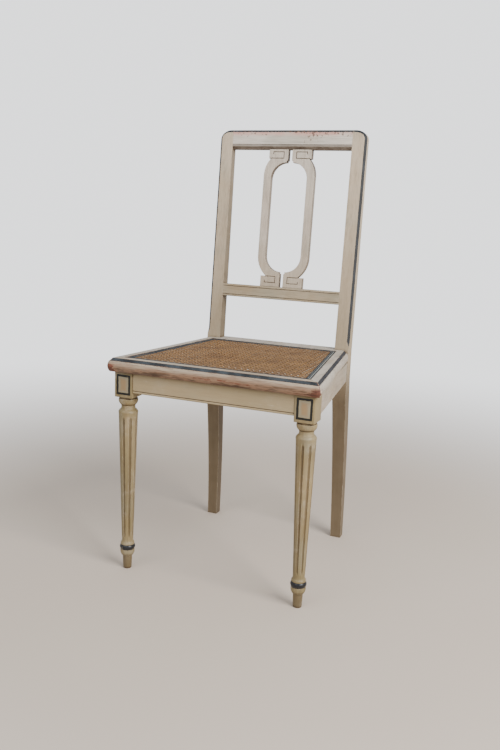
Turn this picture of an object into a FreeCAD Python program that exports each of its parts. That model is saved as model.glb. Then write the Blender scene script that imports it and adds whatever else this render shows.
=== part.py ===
# A painted side chair with a cane seat: turned and fluted front legs, raked square back posts,
# a pierced splat of two facing scrolls, and a moulded seat frame that lies on four aprons.
# Lengths are in millimetres, angles in degrees. X runs to the right of someone who faces the
# chair, Y runs from the front edge to the back, Z runs up. The sizes measure Y from the front
# faces of the leg blocks; each finished piece is then moved so that the origin lies on the
# floor below the middle of the chair.

import FreeCAD
import Part
import Sketcher
import math
import os
import re
from FreeCAD import Placement, Rotation, Vector

# Overall sizes

overall_height = 925.0
seat_height = 452.0
front_width = 420.0
back_width = 344.0
post_front = 347.0
rake_angle = 5.2
cut_overrun = 3.0
joint_gap = 0.1

# Front legs

block_width = 40.0
block_height = 53.0
block_arris = 1.2
collar_radius = 18.3
collar_height = 3.0
roll_radius = 19.5
roll_height = 6.0
echinus_height = 8.8
echinus_curve = 12.0
neck_radius = 13.4
neck_flare = 0.6
shoulder_radius = 19.8
shoulder_curve = 18.0
shoulder_height = 10.8
shoulder_lip = 4.0
column_top_radius = 19.4
neck_length = 35.0
column_foot_radius = 11.8
column_foot_gap = 12.0
flare_radius = 14.2
flare_height = 8.0
ring_radius = 16.0
ring_height = 11.0
ring_bottom = 43.0
ring_swell = 2.4
cup_radius = 14.6
cup_height = 15.0
cup_curve = 18.0
peg_top_radius = 9.8
peg_foot_radius = 7.8
peg_edge = 1.2
flute_drop = 7.5
flute_rise = 6.0
flute_top_half = 2.6
flute_foot_half = 1.8
flute_top_hollow = 3.6
flute_foot_hollow = 2.5
flute_count = 8

# Aprons

apron_depth = 42.0
apron_thickness = 20.0
front_apron_recess = 2.0
side_apron_recess = 0.6
bead_rise = 5.0
bead_groove = 1.4
bead_groove_depth = 1.3
apron_tenon_thickness = 8.0
apron_tenon_length = 16.0
apron_tenon_shoulder = 5.0
apron_tenon_inset = 6.0
side_tenon_inset = 7.0
rear_apron_inset = 4.0

# Back posts

post_width = 31.7
post_depth = 28.0
post_top_depth = 18.0
post_corner_radius = 15.0
post_chamfer = 5.2
chamfer_stop_rise = 8.0
chamfer_stop_length = 12.0
foot_splay = 30.0
foot_width = 23.6
foot_depth = 21.0
leg_drop = 107.0

# Crest rail and lower back rail

crest_height = 42.0
crest_face_height = 31.5
crest_quirk = 1.4
crest_bead_height = 6.2
crest_lip = 5.0
lower_rail_rise = 99.0
lower_rail_height = 28.5
lower_rail_depth = 18.0
rail_bead = 4.8
rail_arris = 1.4
rail_tenon_length = 15.0
rail_tenon_thickness = 7.0
rail_tenon_shoulder = 5.0
rail_tenon_inset = 5.5

# Splat

splat_setback = 3.0
splat_thickness = 14.0
splat_half_gap = 4.6
pad_half_width = 50.0
top_pad_height = 20.0
foot_pad_height = 24.0
scroll_half_width = 60.0
scroll_band = 17.5
scroll_inner_radius = 36.0
scroll_top_radius = 55.0
scroll_foot_radius = 58.0
scroll_top_rise = 37.4
scroll_foot_rise = 45.3
scroll_top_web = 8.5
scroll_foot_web = 10.5
cusp_step = 2.6
cusp_drop = 4.0
key_line = 1.3
key_depth = 1.4
key_inset = 9.5
key_rise = 6.0
key_fall = 10.0
key_hook = 4.6
splat_tenon_width = 18.0
splat_tenon_thickness = 6.0
splat_tenon_length = 9.0

# Seat frame

frame_thickness = 27.0
side_reach = 14.0
post_cover = 1.0
nosing = 13.0
frame_rail = 54.0
frame_rear_reach = 31.0
frame_rear_arris = 4.0
nosing_thickness = 21.5
nosing_round = 4.2
nosing_flat = 0.9
step_slope = 4.8
frame_border = 15.2
rear_border = 15.5
ledge_depth = 2.4
spline_width = 12.0
groove_depth = 5.0

# Cane panel

cane_thickness = 1.2
cane_pitch = 26.0
cane_hole = 17.4
cane_margin = 9.0
spline_crown = 0.5
spline_arris = 1.2

# Corner blocks and screws

corner_block_run = 46.0
corner_block_reach = 28.0
corner_block_thickness = 24.0
screw_radius = 2.0
screw_head_radius = 4.0
screw_head_height = 2.4
screw_length = 36.0
screw_slot = 0.9
screw_slot_depth = 1.1
screw_aside = 2.0
screw_behind = 8.0
screw_before = 12.0

# Heights and widths that follow from those sizes

follows = {
    "frame_bottom": "(seat_height - frame_thickness)",
    "apron_bottom": "(frame_bottom - apron_depth)",
    "block_bottom": "(frame_bottom - block_height)",
    "column_top": "(block_bottom - neck_length)",
    "column_foot": "(ring_bottom + ring_height + column_foot_gap)",
    "flute_top": "(column_top - flute_drop)",
    "flute_foot": "(column_foot + flute_rise)",
    "leg_top": "(seat_height - leg_drop)",
    "foot_front": "(post_front + foot_splay)",
    "step_inset": "(nosing_round + nosing_flat + step_slope)",
    "frame_front_half": "(front_width / 2 + side_reach)",
    "frame_back_half": "(back_width / 2 + post_cover)",
}

# The sheet holds every size above in a cell of the same name

doc = FreeCAD.newDocument("side_chair")
sheet = doc.addObject("Spreadsheet::Sheet", "sizes")
driving = {name: number for name, number in globals().items() if isinstance(number, (int, float))}
for row, (name, number) in enumerate(driving.items(), 1):
    sheet.set("A%d" % row, name)
    sheet.set("B%d" % row, repr(number))
    sheet.setAlias("B%d" % row, name)


def bound(text):
    """The same text in sizes alone, with every size's name pointing at the sheet."""
    def link(found):
        word = found.group()
        if word in follows:
            return bound(follows[word])
        return "sizes." + word if word in driving else word
    return re.sub(r"[A-Za-z_][A-Za-z_0-9]*", link, text)


def worth(text):
    """The number that an expression in named sizes comes to."""
    return float(sheet.evalExpression(bound(text)))


doc.recompute()


# Helpers that draw and cut

def put(thing, path, text):
    """Ties one property of an object to the sheet."""
    thing.setExpression(path, bound(text))


def body(name):
    return doc.addObject("PartDesign::Body", name)


def role(owner, name):
    return [item for item in owner.Origin.OriginFeatures if item.Role == name][0]


def sketch_on(owner, plane, offset="0"):
    """An empty sketch on one of the body's own planes, lifted by an offset."""
    sketch = owner.newObject("Sketcher::SketchObject", owner.Name + "_sketch")
    sketch.AttachmentSupport = [(role(owner, plane), "")]
    sketch.MapMode = "FlatFace"
    put(sketch, "AttachmentOffset.Base.z", offset)
    return sketch


def arc_middle(start, end, radius, side):
    """The point half way along an arc; side 1 bulges to the right of the run, -1 to the left."""
    chord = end - start
    half = chord.Length / 2
    sag = radius - math.sqrt(max(radius * radius - half * half, 0))
    across = Vector(chord.y, -chord.x, 0).normalize()
    return (start + end) * 0.5 + across * sag * side


def outline(sketch, points):
    """A closed outline. Each point is a pair of expressions; a third entry makes the side that
    leaves the point an arc of that radius, and a fourth says to which side it bulges."""
    places = [Vector(worth(p[0]), worth(p[1]), 0) for p in points]
    first = sketch.GeometryCount
    ends = []
    for i, point in enumerate(points):
        here = places[i]
        there = places[(i + 1) % len(points)]
        if len(point) == 2:
            sketch.addGeometry(Part.LineSegment(here, there))
            ends.append((1, 2))
            continue
        middle = arc_middle(here, there, worth(point[2]), point[3])
        if point[3] > 0:
            sketch.addGeometry(Part.Arc(here, middle, there))
            ends.append((1, 2))
        else:
            sketch.addGeometry(Part.Arc(there, middle, here))
            ends.append((2, 1))
    for i, point in enumerate(points):
        after = (i + 1) % len(points)
        sketch.addConstraint(Sketcher.Constraint(
            "Coincident", first + i, ends[i][1], first + after, ends[after][0]))
    for i, point in enumerate(points):
        for kind, text, number in (("DistanceX", point[0], places[i].x),
                                   ("DistanceY", point[1], places[i].y)):
            row = sketch.addConstraint(Sketcher.Constraint(kind, -1, 1, first + i, ends[i][0], number))
            put(sketch, "Constraints[%d]" % row, text)
        if len(point) > 2:
            row = sketch.addConstraint(Sketcher.Constraint("Radius", first + i, worth(point[2])))
            put(sketch, "Constraints[%d]" % row, point[2])
    return sketch


def pad(owner, sketch, length):
    made = owner.newObject("PartDesign::Pad", owner.Name + "_pad")
    made.Profile = sketch
    put(made, "Length", length)
    sketch.Visibility = False
    return made


def pocket(owner, sketch, length, back=False):
    made = owner.newObject("PartDesign::Pocket", owner.Name + "_pocket")
    made.Profile = sketch
    made.Reversed = back
    put(made, "Length", length)
    sketch.Visibility = False
    return made


def brick(name, low, extent):
    """A box from its low corner and its three lengths, each an expression."""
    made = doc.addObject("Part::Box", name)
    for prop, text in zip(("Length", "Width", "Height"), extent):
        put(made, prop, text)
    for axis, text in zip("xyz", low):
        put(made, "Placement.Base." + axis, text)
    return made


def fuse(name, shapes):
    made = doc.addObject("Part::MultiFuse", name)
    made.Shapes = shapes
    made.Refine = True
    return made


def cut(name, base, tools):
    """The base less one tool, or less several joined into one."""
    tool = tools[0] if len(tools) == 1 else fuse(name + "_tools", tools)
    made = doc.addObject("Part::Cut", name)
    made.Base = base
    made.Tool = tool
    return made


def copy_of(name, source):
    """A second use of a shape that stays tied to the first."""
    made = doc.addObject("Part::Compound", name)
    made.Links = [source]
    return made


def mirrored(name, source):
    made = doc.addObject("Part::Mirroring", name)
    made.Source = source
    made.Normal = Vector(1, 0, 0)
    made.Base = Vector(0, 0, 0)
    return made


pieces = []
back_reach = ("(post_front + (overall_height - seat_height) * tan(rake_angle)"
              " + post_top_depth * cos(rake_angle))")
middle_y = "((" + back_reach + " - nosing) / 2)"


def finish(thing, name):
    """Names a finished piece and moves it into the chair's own frame."""
    thing.Label = name
    put(thing, "Placement.Base.y", "-" + middle_y)
    pieces.append(thing)
    return thing


def pair(thing, name):
    """The right-hand piece and its mirror image on the left."""
    other = mirrored(name + "_mirror", thing)
    finish(thing, name + "_right")
    other.Label = name + "_left"
    pieces.append(other)
    return thing, other


def raked(thing, back="0", up="0", across="0"):
    """Sets a piece in the leaning plane of the back, which starts at the top of the seat."""
    thing.Placement = Placement(Vector(0, 0, 0), Rotation(Vector(1, 0, 0), 0))
    put(thing, "Placement.Rotation.Angle", "-rake_angle * 1deg")
    thing.Placement.Rotation.Axis = Vector(1, 0, 0)
    put(thing, "Placement.Base.x", across)
    put(thing, "Placement.Base.y",
        "post_front + (%s) * sin(rake_angle) + (%s) * cos(rake_angle)" % (up, back))
    put(thing, "Placement.Base.z",
        "seat_height + (%s) * cos(rake_angle) - (%s) * sin(rake_angle)" % (up, back))
    return thing


# Places that several pieces share

post_in = "(back_width / 2 - post_width)"
slope_top = "((overall_height - seat_height) / cos(rake_angle))"
leg_x = "(front_width / 2 - block_width / 2)"
leg_y = "(block_width / 2)"
apron_height = "apron_depth"
tenon_height = "(apron_depth - 2 * apron_tenon_shoulder)"
tenon_bottom = "(apron_bottom + apron_tenon_shoulder)"


def raked_brick(name, low, extent):
    """A box whose low corner is given across, back and up in the leaning plane."""
    made = doc.addObject("Part::Box", name)
    for prop, text in zip(("Length", "Width", "Height"), extent):
        put(made, prop, text)
    return raked(made, back=low[1], up=low[2], across=low[0])


def turn_about(span, swell):
    """The radius of an arc that spans a length and swells by another."""
    return "((%s) ^ 2 / 4 + (%s) ^ 2) / (2 * (%s))" % (span, swell, swell)


def edges_where(shape, test):
    """Names of the edges whose every vertex passes the test."""
    return ["Edge%d" % (i + 1) for i, edge in enumerate(shape.Edges)
            if edge.Vertexes and all(test(v.Point) for v in edge.Vertexes)]


def column_radius(up):
    """The radius of the tapering column at a height."""
    return ("(column_foot_radius + (column_top_radius - column_foot_radius)"
            " * ((%s) - column_foot) / (column_top - column_foot))" % up)


# Front leg: one turning with a square block on top. The fluted stretch of the column is lofted
# between two sections that have a hollow at each flute, and stops square at both ends.

def fluted_section(owner, up, half, hollow):
    """The column's section at a height, parted at the edges of each flute."""
    radius = column_radius(up)
    spread = "asin((%s) / %s)" % (half, radius)
    points = []
    for step in range(int(worth("flute_count"))):
        middle = "%d * 360deg / flute_count" % step
        for angle, arc, side in ((middle + " - " + spread, hollow, -1),
                                 (middle + " + " + spread, radius, 1)):
            points.append(("%s * cos(%s)" % (radius, angle), "%s * sin(%s)" % (radius, angle), arc, side))
    section = outline(sketch_on(owner, "XY_Plane", up), points)
    section.Visibility = False
    return section


def front_leg():
    leg = body("front_leg")
    core = "column_foot_radius / 2"
    ring_top = "ring_bottom + ring_height"
    shoulder = "column_top + shoulder_height"
    collar = "block_bottom - collar_height"
    roll = collar + " - roll_height"
    echinus = roll + " - echinus_height"
    profile = outline(sketch_on(leg, "XZ_Plane"), [
        ("0", "0"),
        ("peg_foot_radius - peg_edge", "0"),
        ("peg_foot_radius", "peg_edge"),
        ("peg_top_radius", "ring_bottom - cup_height", "cup_curve", 1),
        ("cup_radius", "ring_bottom"),
        ("ring_radius - ring_swell", "ring_bottom", turn_about("ring_height", "ring_swell"), 1),
        ("ring_radius - ring_swell", ring_top),
        ("flare_radius", ring_top),
        ("flare_radius", "column_foot - flare_height", "2 * flare_height", -1),
        ("column_foot_radius", "column_foot"),
        (column_radius("flute_foot"), "flute_foot"),
        (core, "flute_foot"),
        (core, "flute_top"),
        (column_radius("flute_top"), "flute_top"),
        ("column_top_radius", "column_top"),
        ("shoulder_radius", "column_top + shoulder_lip", "shoulder_curve", 1),
        ("neck_radius + neck_flare", shoulder,
         turn_about(echinus + " - (" + shoulder + ")", "neck_flare"), -1),
        ("neck_radius + neck_flare", echinus, "echinus_curve", 1),
        ("roll_radius", roll),
        ("roll_radius", collar),
        ("collar_radius", collar),
        ("collar_radius", "block_bottom + collar_height"),
        ("0", "block_bottom + collar_height"),
    ])
    turning = leg.newObject("PartDesign::Revolution", "leg_turning")
    turning.Profile = profile
    turning.ReferenceAxis = (profile, ["V_Axis"])
    turning.Angle = 360
    profile.Visibility = False
    doc.recompute()
    before = turning.Shape.Volume
    column = leg.newObject("PartDesign::AdditiveLoft", "fluted_column")
    column.Profile = fluted_section(leg, "flute_foot", "flute_foot_half", "flute_foot_hollow")
    column.Sections = [fluted_section(leg, "flute_top", "flute_top_half", "flute_top_hollow")]
    column.Ruled = True
    doc.recompute()
    if column.Shape.Volume <= before:
        raise RuntimeError("the fluted column adds nothing")
    half = "block_width / 2"
    square = outline(sketch_on(leg, "XY_Plane", "block_bottom"), [
        ("-" + half, "-" + half), (half, "-" + half), (half, half), ("-" + half, half)])
    block = pad(leg, square, "frame_bottom - block_bottom")
    doc.recompute()
    low = worth("block_bottom")
    wide = worth(half)
    near = worth("block_arris") / 2
    corners = edges_where(block.Shape, lambda p: abs(abs(p.x) - wide) < near and abs(abs(p.y) - wide) < near)
    arris = leg.newObject("PartDesign::Chamfer", "block_arrises")
    arris.Base = (block, [name for name in corners
                          if min(v.Z for v in block.Shape.getElement(name).Vertexes) < low + near])
    put(arris, "Size", "block_arris")
    put(leg, "Placement.Base.x", leg_x)
    put(leg, "Placement.Base.y", leg_y)
    return leg


# Mortises and tenons. Each tenon is given once as low corner and lengths; its mortise is the same
# box with the joint's gap round it and room at its end.

def grown(low, extent, axis, way):
    """A tenon's box with the gap round it, longer at its end, way 1 or -1 along its axis."""
    low = list(low)
    extent = list(extent)
    for i in range(3):
        if i == axis:
            extent[i] = "(%s) + cut_overrun" % extent[i]
            if way < 0:
                low[i] = "(%s) - joint_gap" % low[i]
            else:
                low[i] = "(%s) - cut_overrun + joint_gap" % low[i]
        else:
            low[i] = "(%s) - joint_gap" % low[i]
            extent[i] = "(%s) + 2 * joint_gap" % extent[i]
    return low, extent


block_in = "(front_width / 2 - block_width)"
front_tenon = ([block_in, "front_apron_recess + apron_tenon_inset", tenon_bottom],
               ["apron_tenon_length", "apron_tenon_thickness", tenon_height])
apron_out_front = "(front_width / 2 - side_apron_recess)"
apron_out_back = "(back_width / 2 - side_apron_recess)"
side_front_tenon = ([apron_out_front + " - side_tenon_inset - apron_tenon_thickness",
                     "block_width - apron_tenon_length", tenon_bottom],
                    ["apron_tenon_thickness", "apron_tenon_length", tenon_height])
side_back_tenon = ([apron_out_back + " - side_tenon_inset - apron_tenon_thickness",
                    "post_front", tenon_bottom],
                   ["apron_tenon_thickness", "rail_tenon_length", tenon_height])
rear_tenon = ([post_in, "post_front + rear_apron_inset + apron_tenon_inset", tenon_bottom],
              ["rail_tenon_length", "apron_tenon_thickness", tenon_height])
crest_bottom = "(" + slope_top + " - crest_height)"
crest_tenon = ([post_in, "rail_tenon_inset", crest_bottom + " + rail_tenon_shoulder"],
               ["rail_tenon_length", "rail_tenon_thickness", "crest_height - 2 * rail_tenon_shoulder"])
lower_tenon = ([post_in, "rail_tenon_inset", "lower_rail_rise + rail_tenon_shoulder"],
               ["rail_tenon_length", "rail_tenon_thickness", "lower_rail_height - 2 * rail_tenon_shoulder"])
splat_tenon_x = "(splat_half_gap + pad_half_width - splat_tenon_width) / 2"
splat_tenon_back = "splat_setback + (splat_thickness - splat_tenon_thickness) / 2"
splat_top_tenon = ([splat_tenon_x, splat_tenon_back, crest_bottom],
                   ["splat_tenon_width", "splat_tenon_thickness", "splat_tenon_length"])
lower_top = "(lower_rail_rise + lower_rail_height)"
splat_foot_tenon = ([splat_tenon_x, splat_tenon_back, lower_top + " - splat_tenon_length"],
                    ["splat_tenon_width", "splat_tenon_thickness", "splat_tenon_length"])


def mortise(name, tenon, axis, way):
    low, extent = grown(tenon[0], tenon[1], axis, way)
    return brick(name, low, extent)


def raked_mortise(name, tenon, axis, way):
    low, extent = grown(tenon[0], tenon[1], axis, way)
    return raked_brick(name, low, extent)


def rooted(name, tenon, axis, way, maker=brick):
    """A tenon with a root that reaches back into its own rail."""
    low = list(tenon[0])
    extent = list(tenon[1])
    extent[axis] = "(%s) + cut_overrun" % extent[axis]
    if way > 0:
        low[axis] = "(%s) - cut_overrun" % low[axis]
    return maker(name, low, extent)


leg = cut("front_leg_jointed", front_leg(), [
    mortise("front_apron_mortise", front_tenon, 0, 1),
    mortise("side_apron_mortise", side_front_tenon, 1, -1)])
pair(leg, "front_leg")


# Front apron, with a scratched bead near its lower edge

def front_apron():
    rail = body("front_apron_rail")
    face = "front_apron_recess"
    line = "apron_bottom + bead_rise"
    section = outline(sketch_on(rail, "YZ_Plane", "-" + block_in), [
        (face + " + rail_arris", "apron_bottom", "rail_arris", -1),
        (face, "apron_bottom + rail_arris"),
        (face, line + " - bead_groove / 2"),
        (face + " + bead_groove_depth", line),
        (face, line + " + bead_groove / 2"),
        (face, "frame_bottom"),
        (face + " + apron_thickness", "frame_bottom"),
        (face + " + apron_thickness", "apron_bottom"),
    ])
    pad(rail, section, "2 * " + block_in)
    right = rooted("front_apron_tenon", front_tenon, 0, 1)
    return fuse("front_apron_jointed", [rail, right, mirrored("front_apron_tenon_left", right)])


finish(front_apron(), "front_apron")


# Side apron, which runs in towards the back

def side_apron():
    rail = body("side_apron_rail")
    plan = outline(sketch_on(rail, "XY_Plane", "apron_bottom"), [
        (apron_out_front, "block_width"),
        (apron_out_back, "post_front"),
        (apron_out_back + " - apron_thickness", "post_front"),
        (apron_out_front + " - apron_thickness", "block_width"),
    ])
    pad(rail, plan, apron_height)
    return fuse("side_apron_jointed", [
        rail,
        rooted("side_apron_front_tenon", side_front_tenon, 1, -1),
        rooted("side_apron_back_tenon", side_back_tenon, 1, 1)])


pair(side_apron(), "side_apron")


# Rear apron

rear_rail = brick("rear_apron_rail", ["-" + post_in, "post_front + rear_apron_inset", "apron_bottom"],
                  ["2 * " + post_in, "apron_thickness", apron_height])
rear_right = rooted("rear_apron_tenon", rear_tenon, 0, 1)
finish(fuse("rear_apron_jointed", [rear_rail, rear_right, mirrored("rear_apron_tenon_left", rear_right)]),
       "rear_apron")


# The cutter of the stopped chamfer that runs up both posts, round the top corners and over the crest

def chamfer_section(reach, here, along, out, deep):
    """A triangle over the outer front arris; out points off the back's edge, along its run."""
    over = worth("cut_overrun")
    return [here + out * over - deep * over,
            here - out * (reach + over) - deep * over,
            here + out * over + deep * (reach + over)]


def triangle(points):
    return Part.makePolygon(points + points[:1])


def chamfer_cutter():
    right = worth("back_width / 2")
    top = worth(slope_top)
    bend = worth("post_corner_radius")
    reach = worth("post_chamfer")
    stop = worth("chamfer_stop_rise")
    full = stop + worth("chamfer_stop_length")
    east = Vector(1, 0, 0)
    up = Vector(0, 0, 1)
    deep = Vector(0, 1, 0)
    faint = worth("joint_gap")
    low = triangle(chamfer_section(faint, Vector(right, 0, stop), up, east, deep))
    start = triangle(chamfer_section(reach, Vector(right, 0, full), up, east, deep))
    side = Part.Face(start).extrude(Vector(0, 0, top - bend - full))
    nose = Part.makeLoft([low, start], True, True)
    corner_start = Part.Face(triangle(chamfer_section(reach, Vector(right, 0, top - bend), up, east, deep)))
    corner = corner_start.revolve(Vector(right - bend, 0, top - bend), Vector(0, -1, 0), 90)
    over_top = Part.Face(triangle(chamfer_section(reach, Vector(right - bend, 0, top), east, up, deep)))
    across = over_top.extrude(Vector(bend - right, 0, 0))
    return nose, side, corner, across


def chamfer_tool(name, keep):
    made = doc.addObject("Part::Feature", name)
    shapes = [item for item, wanted in zip(chamfer_cutter(), keep) if wanted]
    whole = shapes[0].fuse(shapes[1:]) if len(shapes) > 1 else shapes[0]
    made.Shape = whole
    return raked(made)


# Back post: rear leg and upright in one piece

def back_post():
    post = body("back_post")
    top_y = "post_front + (overall_height - seat_height) * tan(rake_angle)"
    seat_back = "post_front + post_depth"
    foot_back = "foot_front + foot_depth"
    front_shift = "foot_splay"
    back_shift = "(foot_splay + foot_depth - post_depth)"
    side = outline(sketch_on(post, "YZ_Plane", post_in), [
        ("post_front", "leg_top", "(leg_top ^ 2 + %s ^ 2) / (2 * %s)" % (front_shift, front_shift), -1),
        ("foot_front", "0"),
        (foot_back, "0", "(apron_bottom ^ 2 + %s ^ 2) / (2 * %s)" % (back_shift, back_shift), 1),
        (seat_back, "apron_bottom"),
        (seat_back, "seat_height"),
        (top_y + " + post_top_depth * cos(rake_angle)", "overall_height - post_top_depth * sin(rake_angle)"),
        (top_y, "overall_height"),
        ("post_front", "seat_height"),
    ])
    upright = pad(post, side, "post_width")
    doc.recompute()
    before = upright.Shape.Volume
    inner = outline(sketch_on(post, "XZ_Plane"), [
        (post_in + " - cut_overrun", "0"),
        ("back_width / 2 - foot_width", "0"),
        (post_in, "apron_bottom"),
        (post_in + " - cut_overrun", "apron_bottom"),
    ])
    taper = pocket(post, inner, back_reach + " + cut_overrun")
    doc.recompute()
    if taper.Shape.Volume >= before:
        raise RuntimeError("the rear leg's taper cuts nothing")
    outer = worth("back_width / 2")
    high = worth("overall_height - post_top_depth")
    near = worth("joint_gap")
    corner = post.newObject("PartDesign::Fillet", "post_corner")
    corner.Base = (taper, edges_where(taper.Shape, lambda p: abs(p.x - outer) < near and p.z > high))
    put(corner, "Radius", "post_corner_radius")
    return post


post = cut("back_post_jointed", back_post(), [
    mortise("side_apron_back_mortise", side_back_tenon, 1, 1),
    mortise("rear_apron_mortise", rear_tenon, 0, 1),
    raked_mortise("crest_mortise", crest_tenon, 0, 1),
    raked_mortise("lower_rail_mortise", lower_tenon, 0, 1),
    chamfer_tool("post_chamfer_tool", (True, True, True, True))])
pair(post, "back_post")


# Crest rail, with a quirk and bead under its front face

def crest_rail():
    rail = body("crest_rail_bar")
    face = slope_top + " - crest_face_height"
    section = outline(sketch_on(rail, "YZ_Plane", "-" + post_in), [
        ("0", slope_top),
        ("post_top_depth", slope_top),
        ("post_top_depth", crest_bottom),
        ("crest_lip", crest_bottom),
        ("crest_quirk", face + " - crest_bead_height", turn_about("crest_bead_height", "crest_quirk"), -1),
        ("crest_quirk", face),
        ("0", face),
    ])
    pad(rail, section, "2 * " + post_in)
    raked(rail)
    right = rooted("crest_tenon", crest_tenon, 0, 1, raked_brick)
    whole = fuse("crest_rail_whole", [rail, right, mirrored("crest_tenon_left", right)])
    hole = raked_mortise("splat_top_mortise", splat_top_tenon, 2, 1)
    chamfer = chamfer_tool("crest_chamfer_tool", (False, False, False, True))
    return cut("crest_rail_jointed", whole, [
        hole, mirrored("splat_top_mortise_left", hole), chamfer, mirrored("crest_chamfer_left", chamfer)])


finish(crest_rail(), "crest_rail")


# Lower back rail, with a bead scratched along both edges

def lower_back_rail():
    rail = body("lower_rail_bar")
    low = "lower_rail_rise"
    section = outline(sketch_on(rail, "YZ_Plane", "-" + post_in), [
        ("rail_arris", low, "rail_arris", -1),
        ("0", low + " + rail_arris"),
        ("0", low + " + rail_bead - bead_groove / 2"),
        ("bead_groove_depth", low + " + rail_bead"),
        ("0", low + " + rail_bead + bead_groove / 2"),
        ("0", lower_top + " - rail_bead - bead_groove / 2"),
        ("bead_groove_depth", lower_top + " - rail_bead"),
        ("0", lower_top + " - rail_bead + bead_groove / 2"),
        ("0", lower_top + " - rail_arris", "rail_arris", -1),
        ("rail_arris", lower_top),
        ("lower_rail_depth", lower_top),
        ("lower_rail_depth", low),
    ])
    pad(rail, section, "2 * " + post_in)
    raked(rail)
    right = rooted("lower_rail_tenon", lower_tenon, 0, 1, raked_brick)
    whole = fuse("lower_rail_whole", [rail, right, mirrored("lower_rail_tenon_left", right)])
    hole = raked_mortise("splat_foot_mortise", splat_foot_tenon, 2, -1)
    return cut("lower_rail_jointed", whole, [hole, mirrored("splat_foot_mortise_left", hole)])


finish(lower_back_rail(), "lower_back_rail")


# Splat: each half is a scroll between two square pads that turn back in a key line

def splat():
    half = body("splat_half")
    top = crest_bottom
    pad_low = "(" + crest_bottom + " - top_pad_height)"
    pad_high = "(" + lower_top + " + foot_pad_height)"
    gap = "splat_half_gap"
    wide = "pad_half_width"
    outer = "scroll_half_width"
    inner = "(scroll_half_width - scroll_band)"
    neck = "(splat_half_gap + cusp_step)"
    in_top = "(" + pad_low + " - scroll_top_web)"
    in_foot = "(" + pad_high + " + scroll_foot_web)"
    meet_top = ("(scroll_half_width - scroll_top_radius"
                " + sqrt(scroll_top_radius ^ 2 - scroll_top_rise ^ 2))")
    meet_foot = ("(scroll_half_width - scroll_foot_radius"
                 " + sqrt(scroll_foot_radius ^ 2 - scroll_foot_rise ^ 2))")
    shape = outline(sketch_on(half, "XZ_Plane", "-(splat_setback + splat_thickness)"), [
        (gap, lower_top),
        (wide, lower_top),
        (wide, pad_high),
        (meet_foot, pad_high, "scroll_foot_radius", 1),
        (outer, pad_high + " + scroll_foot_rise"),
        (outer, pad_low + " - scroll_top_rise", "scroll_top_radius", 1),
        (meet_top, pad_low),
        (wide, pad_low),
        (wide, top),
        (gap, top),
        (gap, in_top + " + cusp_drop"),
        (neck, in_top + " + cusp_drop"),
        (neck, in_top, "scroll_inner_radius", -1),
        (inner, in_top + " - scroll_inner_radius"),
        (inner, in_foot + " + scroll_inner_radius", "scroll_inner_radius", -1),
        (neck, in_foot),
        (neck, in_foot + " - cusp_drop"),
        (gap, in_foot + " - cusp_drop"),
    ])
    whole = pad(half, shape, "splat_thickness")
    doc.recompute()
    before = whole.Shape.Volume
    near = "(splat_half_gap + key_inset)"
    far = "(pad_half_width - key_inset)"
    for line, turn, way, meet in ((pad_low, top + " - key_rise", "", meet_top),
                                  (pad_high, lower_top + " + key_fall", "-", meet_foot)):
        thick = "(" + way + "key_line)"
        hook = "(" + way + "key_hook)"
        key = outline(sketch_on(half, "XZ_Plane", "-splat_setback"), [
            (near, line),
            (meet + " + key_line", line),
            (meet + " + key_line", line + " + " + thick),
            (near + " + key_line", line + " + " + thick),
            (near + " + key_line", turn),
            (far + " - key_line", turn),
            (far + " - key_line", turn + " - " + hook),
            (far, turn + " - " + hook),
            (far, turn + " + " + thick),
            (near, turn + " + " + thick),
        ])
        groove = pocket(half, key, "key_depth")
        doc.recompute()
        if groove.Shape.Volume >= before:
            raise RuntimeError("a key line cuts nothing")
        before = groove.Shape.Volume
    raked(half)
    return fuse("splat_jointed", [
        half,
        rooted("splat_top_tenon", splat_top_tenon, 2, 1, raked_brick),
        rooted("splat_foot_tenon", splat_foot_tenon, 2, -1, raked_brick)])


pair(splat(), "splat")


# Seat frame. Distances from the outer edge of the nosing are measured square to each side.

side_slope = "((frame_front_half - frame_back_half) / (post_front + nosing))"
side_secant = "sqrt(1 + %s ^ 2)" % side_slope
wall = "(step_inset + frame_border)"
panel = "(step_inset + frame_border + spline_width)"
wall_back = "(post_front - rear_border)"


def side_x(inward, place_y):
    """How far out the line that lies this far in from the side's edge is, at a place along Y."""
    return "(frame_front_half - ((%s) + nosing) * %s - (%s) * %s)" % (
        place_y, side_slope, inward, side_secant)


def trapezium(inward, back):
    """The plan of the seat, this far in from its front and side edges and up to a back line."""
    front = "((%s) - nosing)" % inward
    return [("-" + side_x(inward, front), front), (side_x(inward, front), front),
            (side_x(inward, back), back), ("-" + side_x(inward, back), back)]


def moulded(inward):
    """The moulded section of the front and side rails; inward turns a distance into a place."""
    high = "frame_bottom + nosing_thickness"
    return [
        (inward("nosing_round"), "frame_bottom", turn_about("nosing_thickness", "nosing_round"), None),
        (inward("nosing_round"), high),
        (inward("nosing_round + nosing_flat"), high),
        (inward("step_inset"), "seat_height"),
        (inward("frame_rail"), "seat_height"),
        (inward("frame_rail"), "frame_bottom"),
    ]


def sided(points, side):
    return [p if len(p) == 2 else (p[0], p[1], p[2], side) for p in points]


def prism(name, points, low, tall, hole=None):
    """An upright solid on a plan, with a hole through it where one is given."""
    made = body(name)
    plan = outline(sketch_on(made, "XY_Plane", low), points)
    if hole:
        outline(plan, hole)
    pad(made, plan, tall)
    return made


ledge = "(seat_height - ledge_depth)"
groove_bottom = "(seat_height - ledge_depth - groove_depth)"


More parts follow.
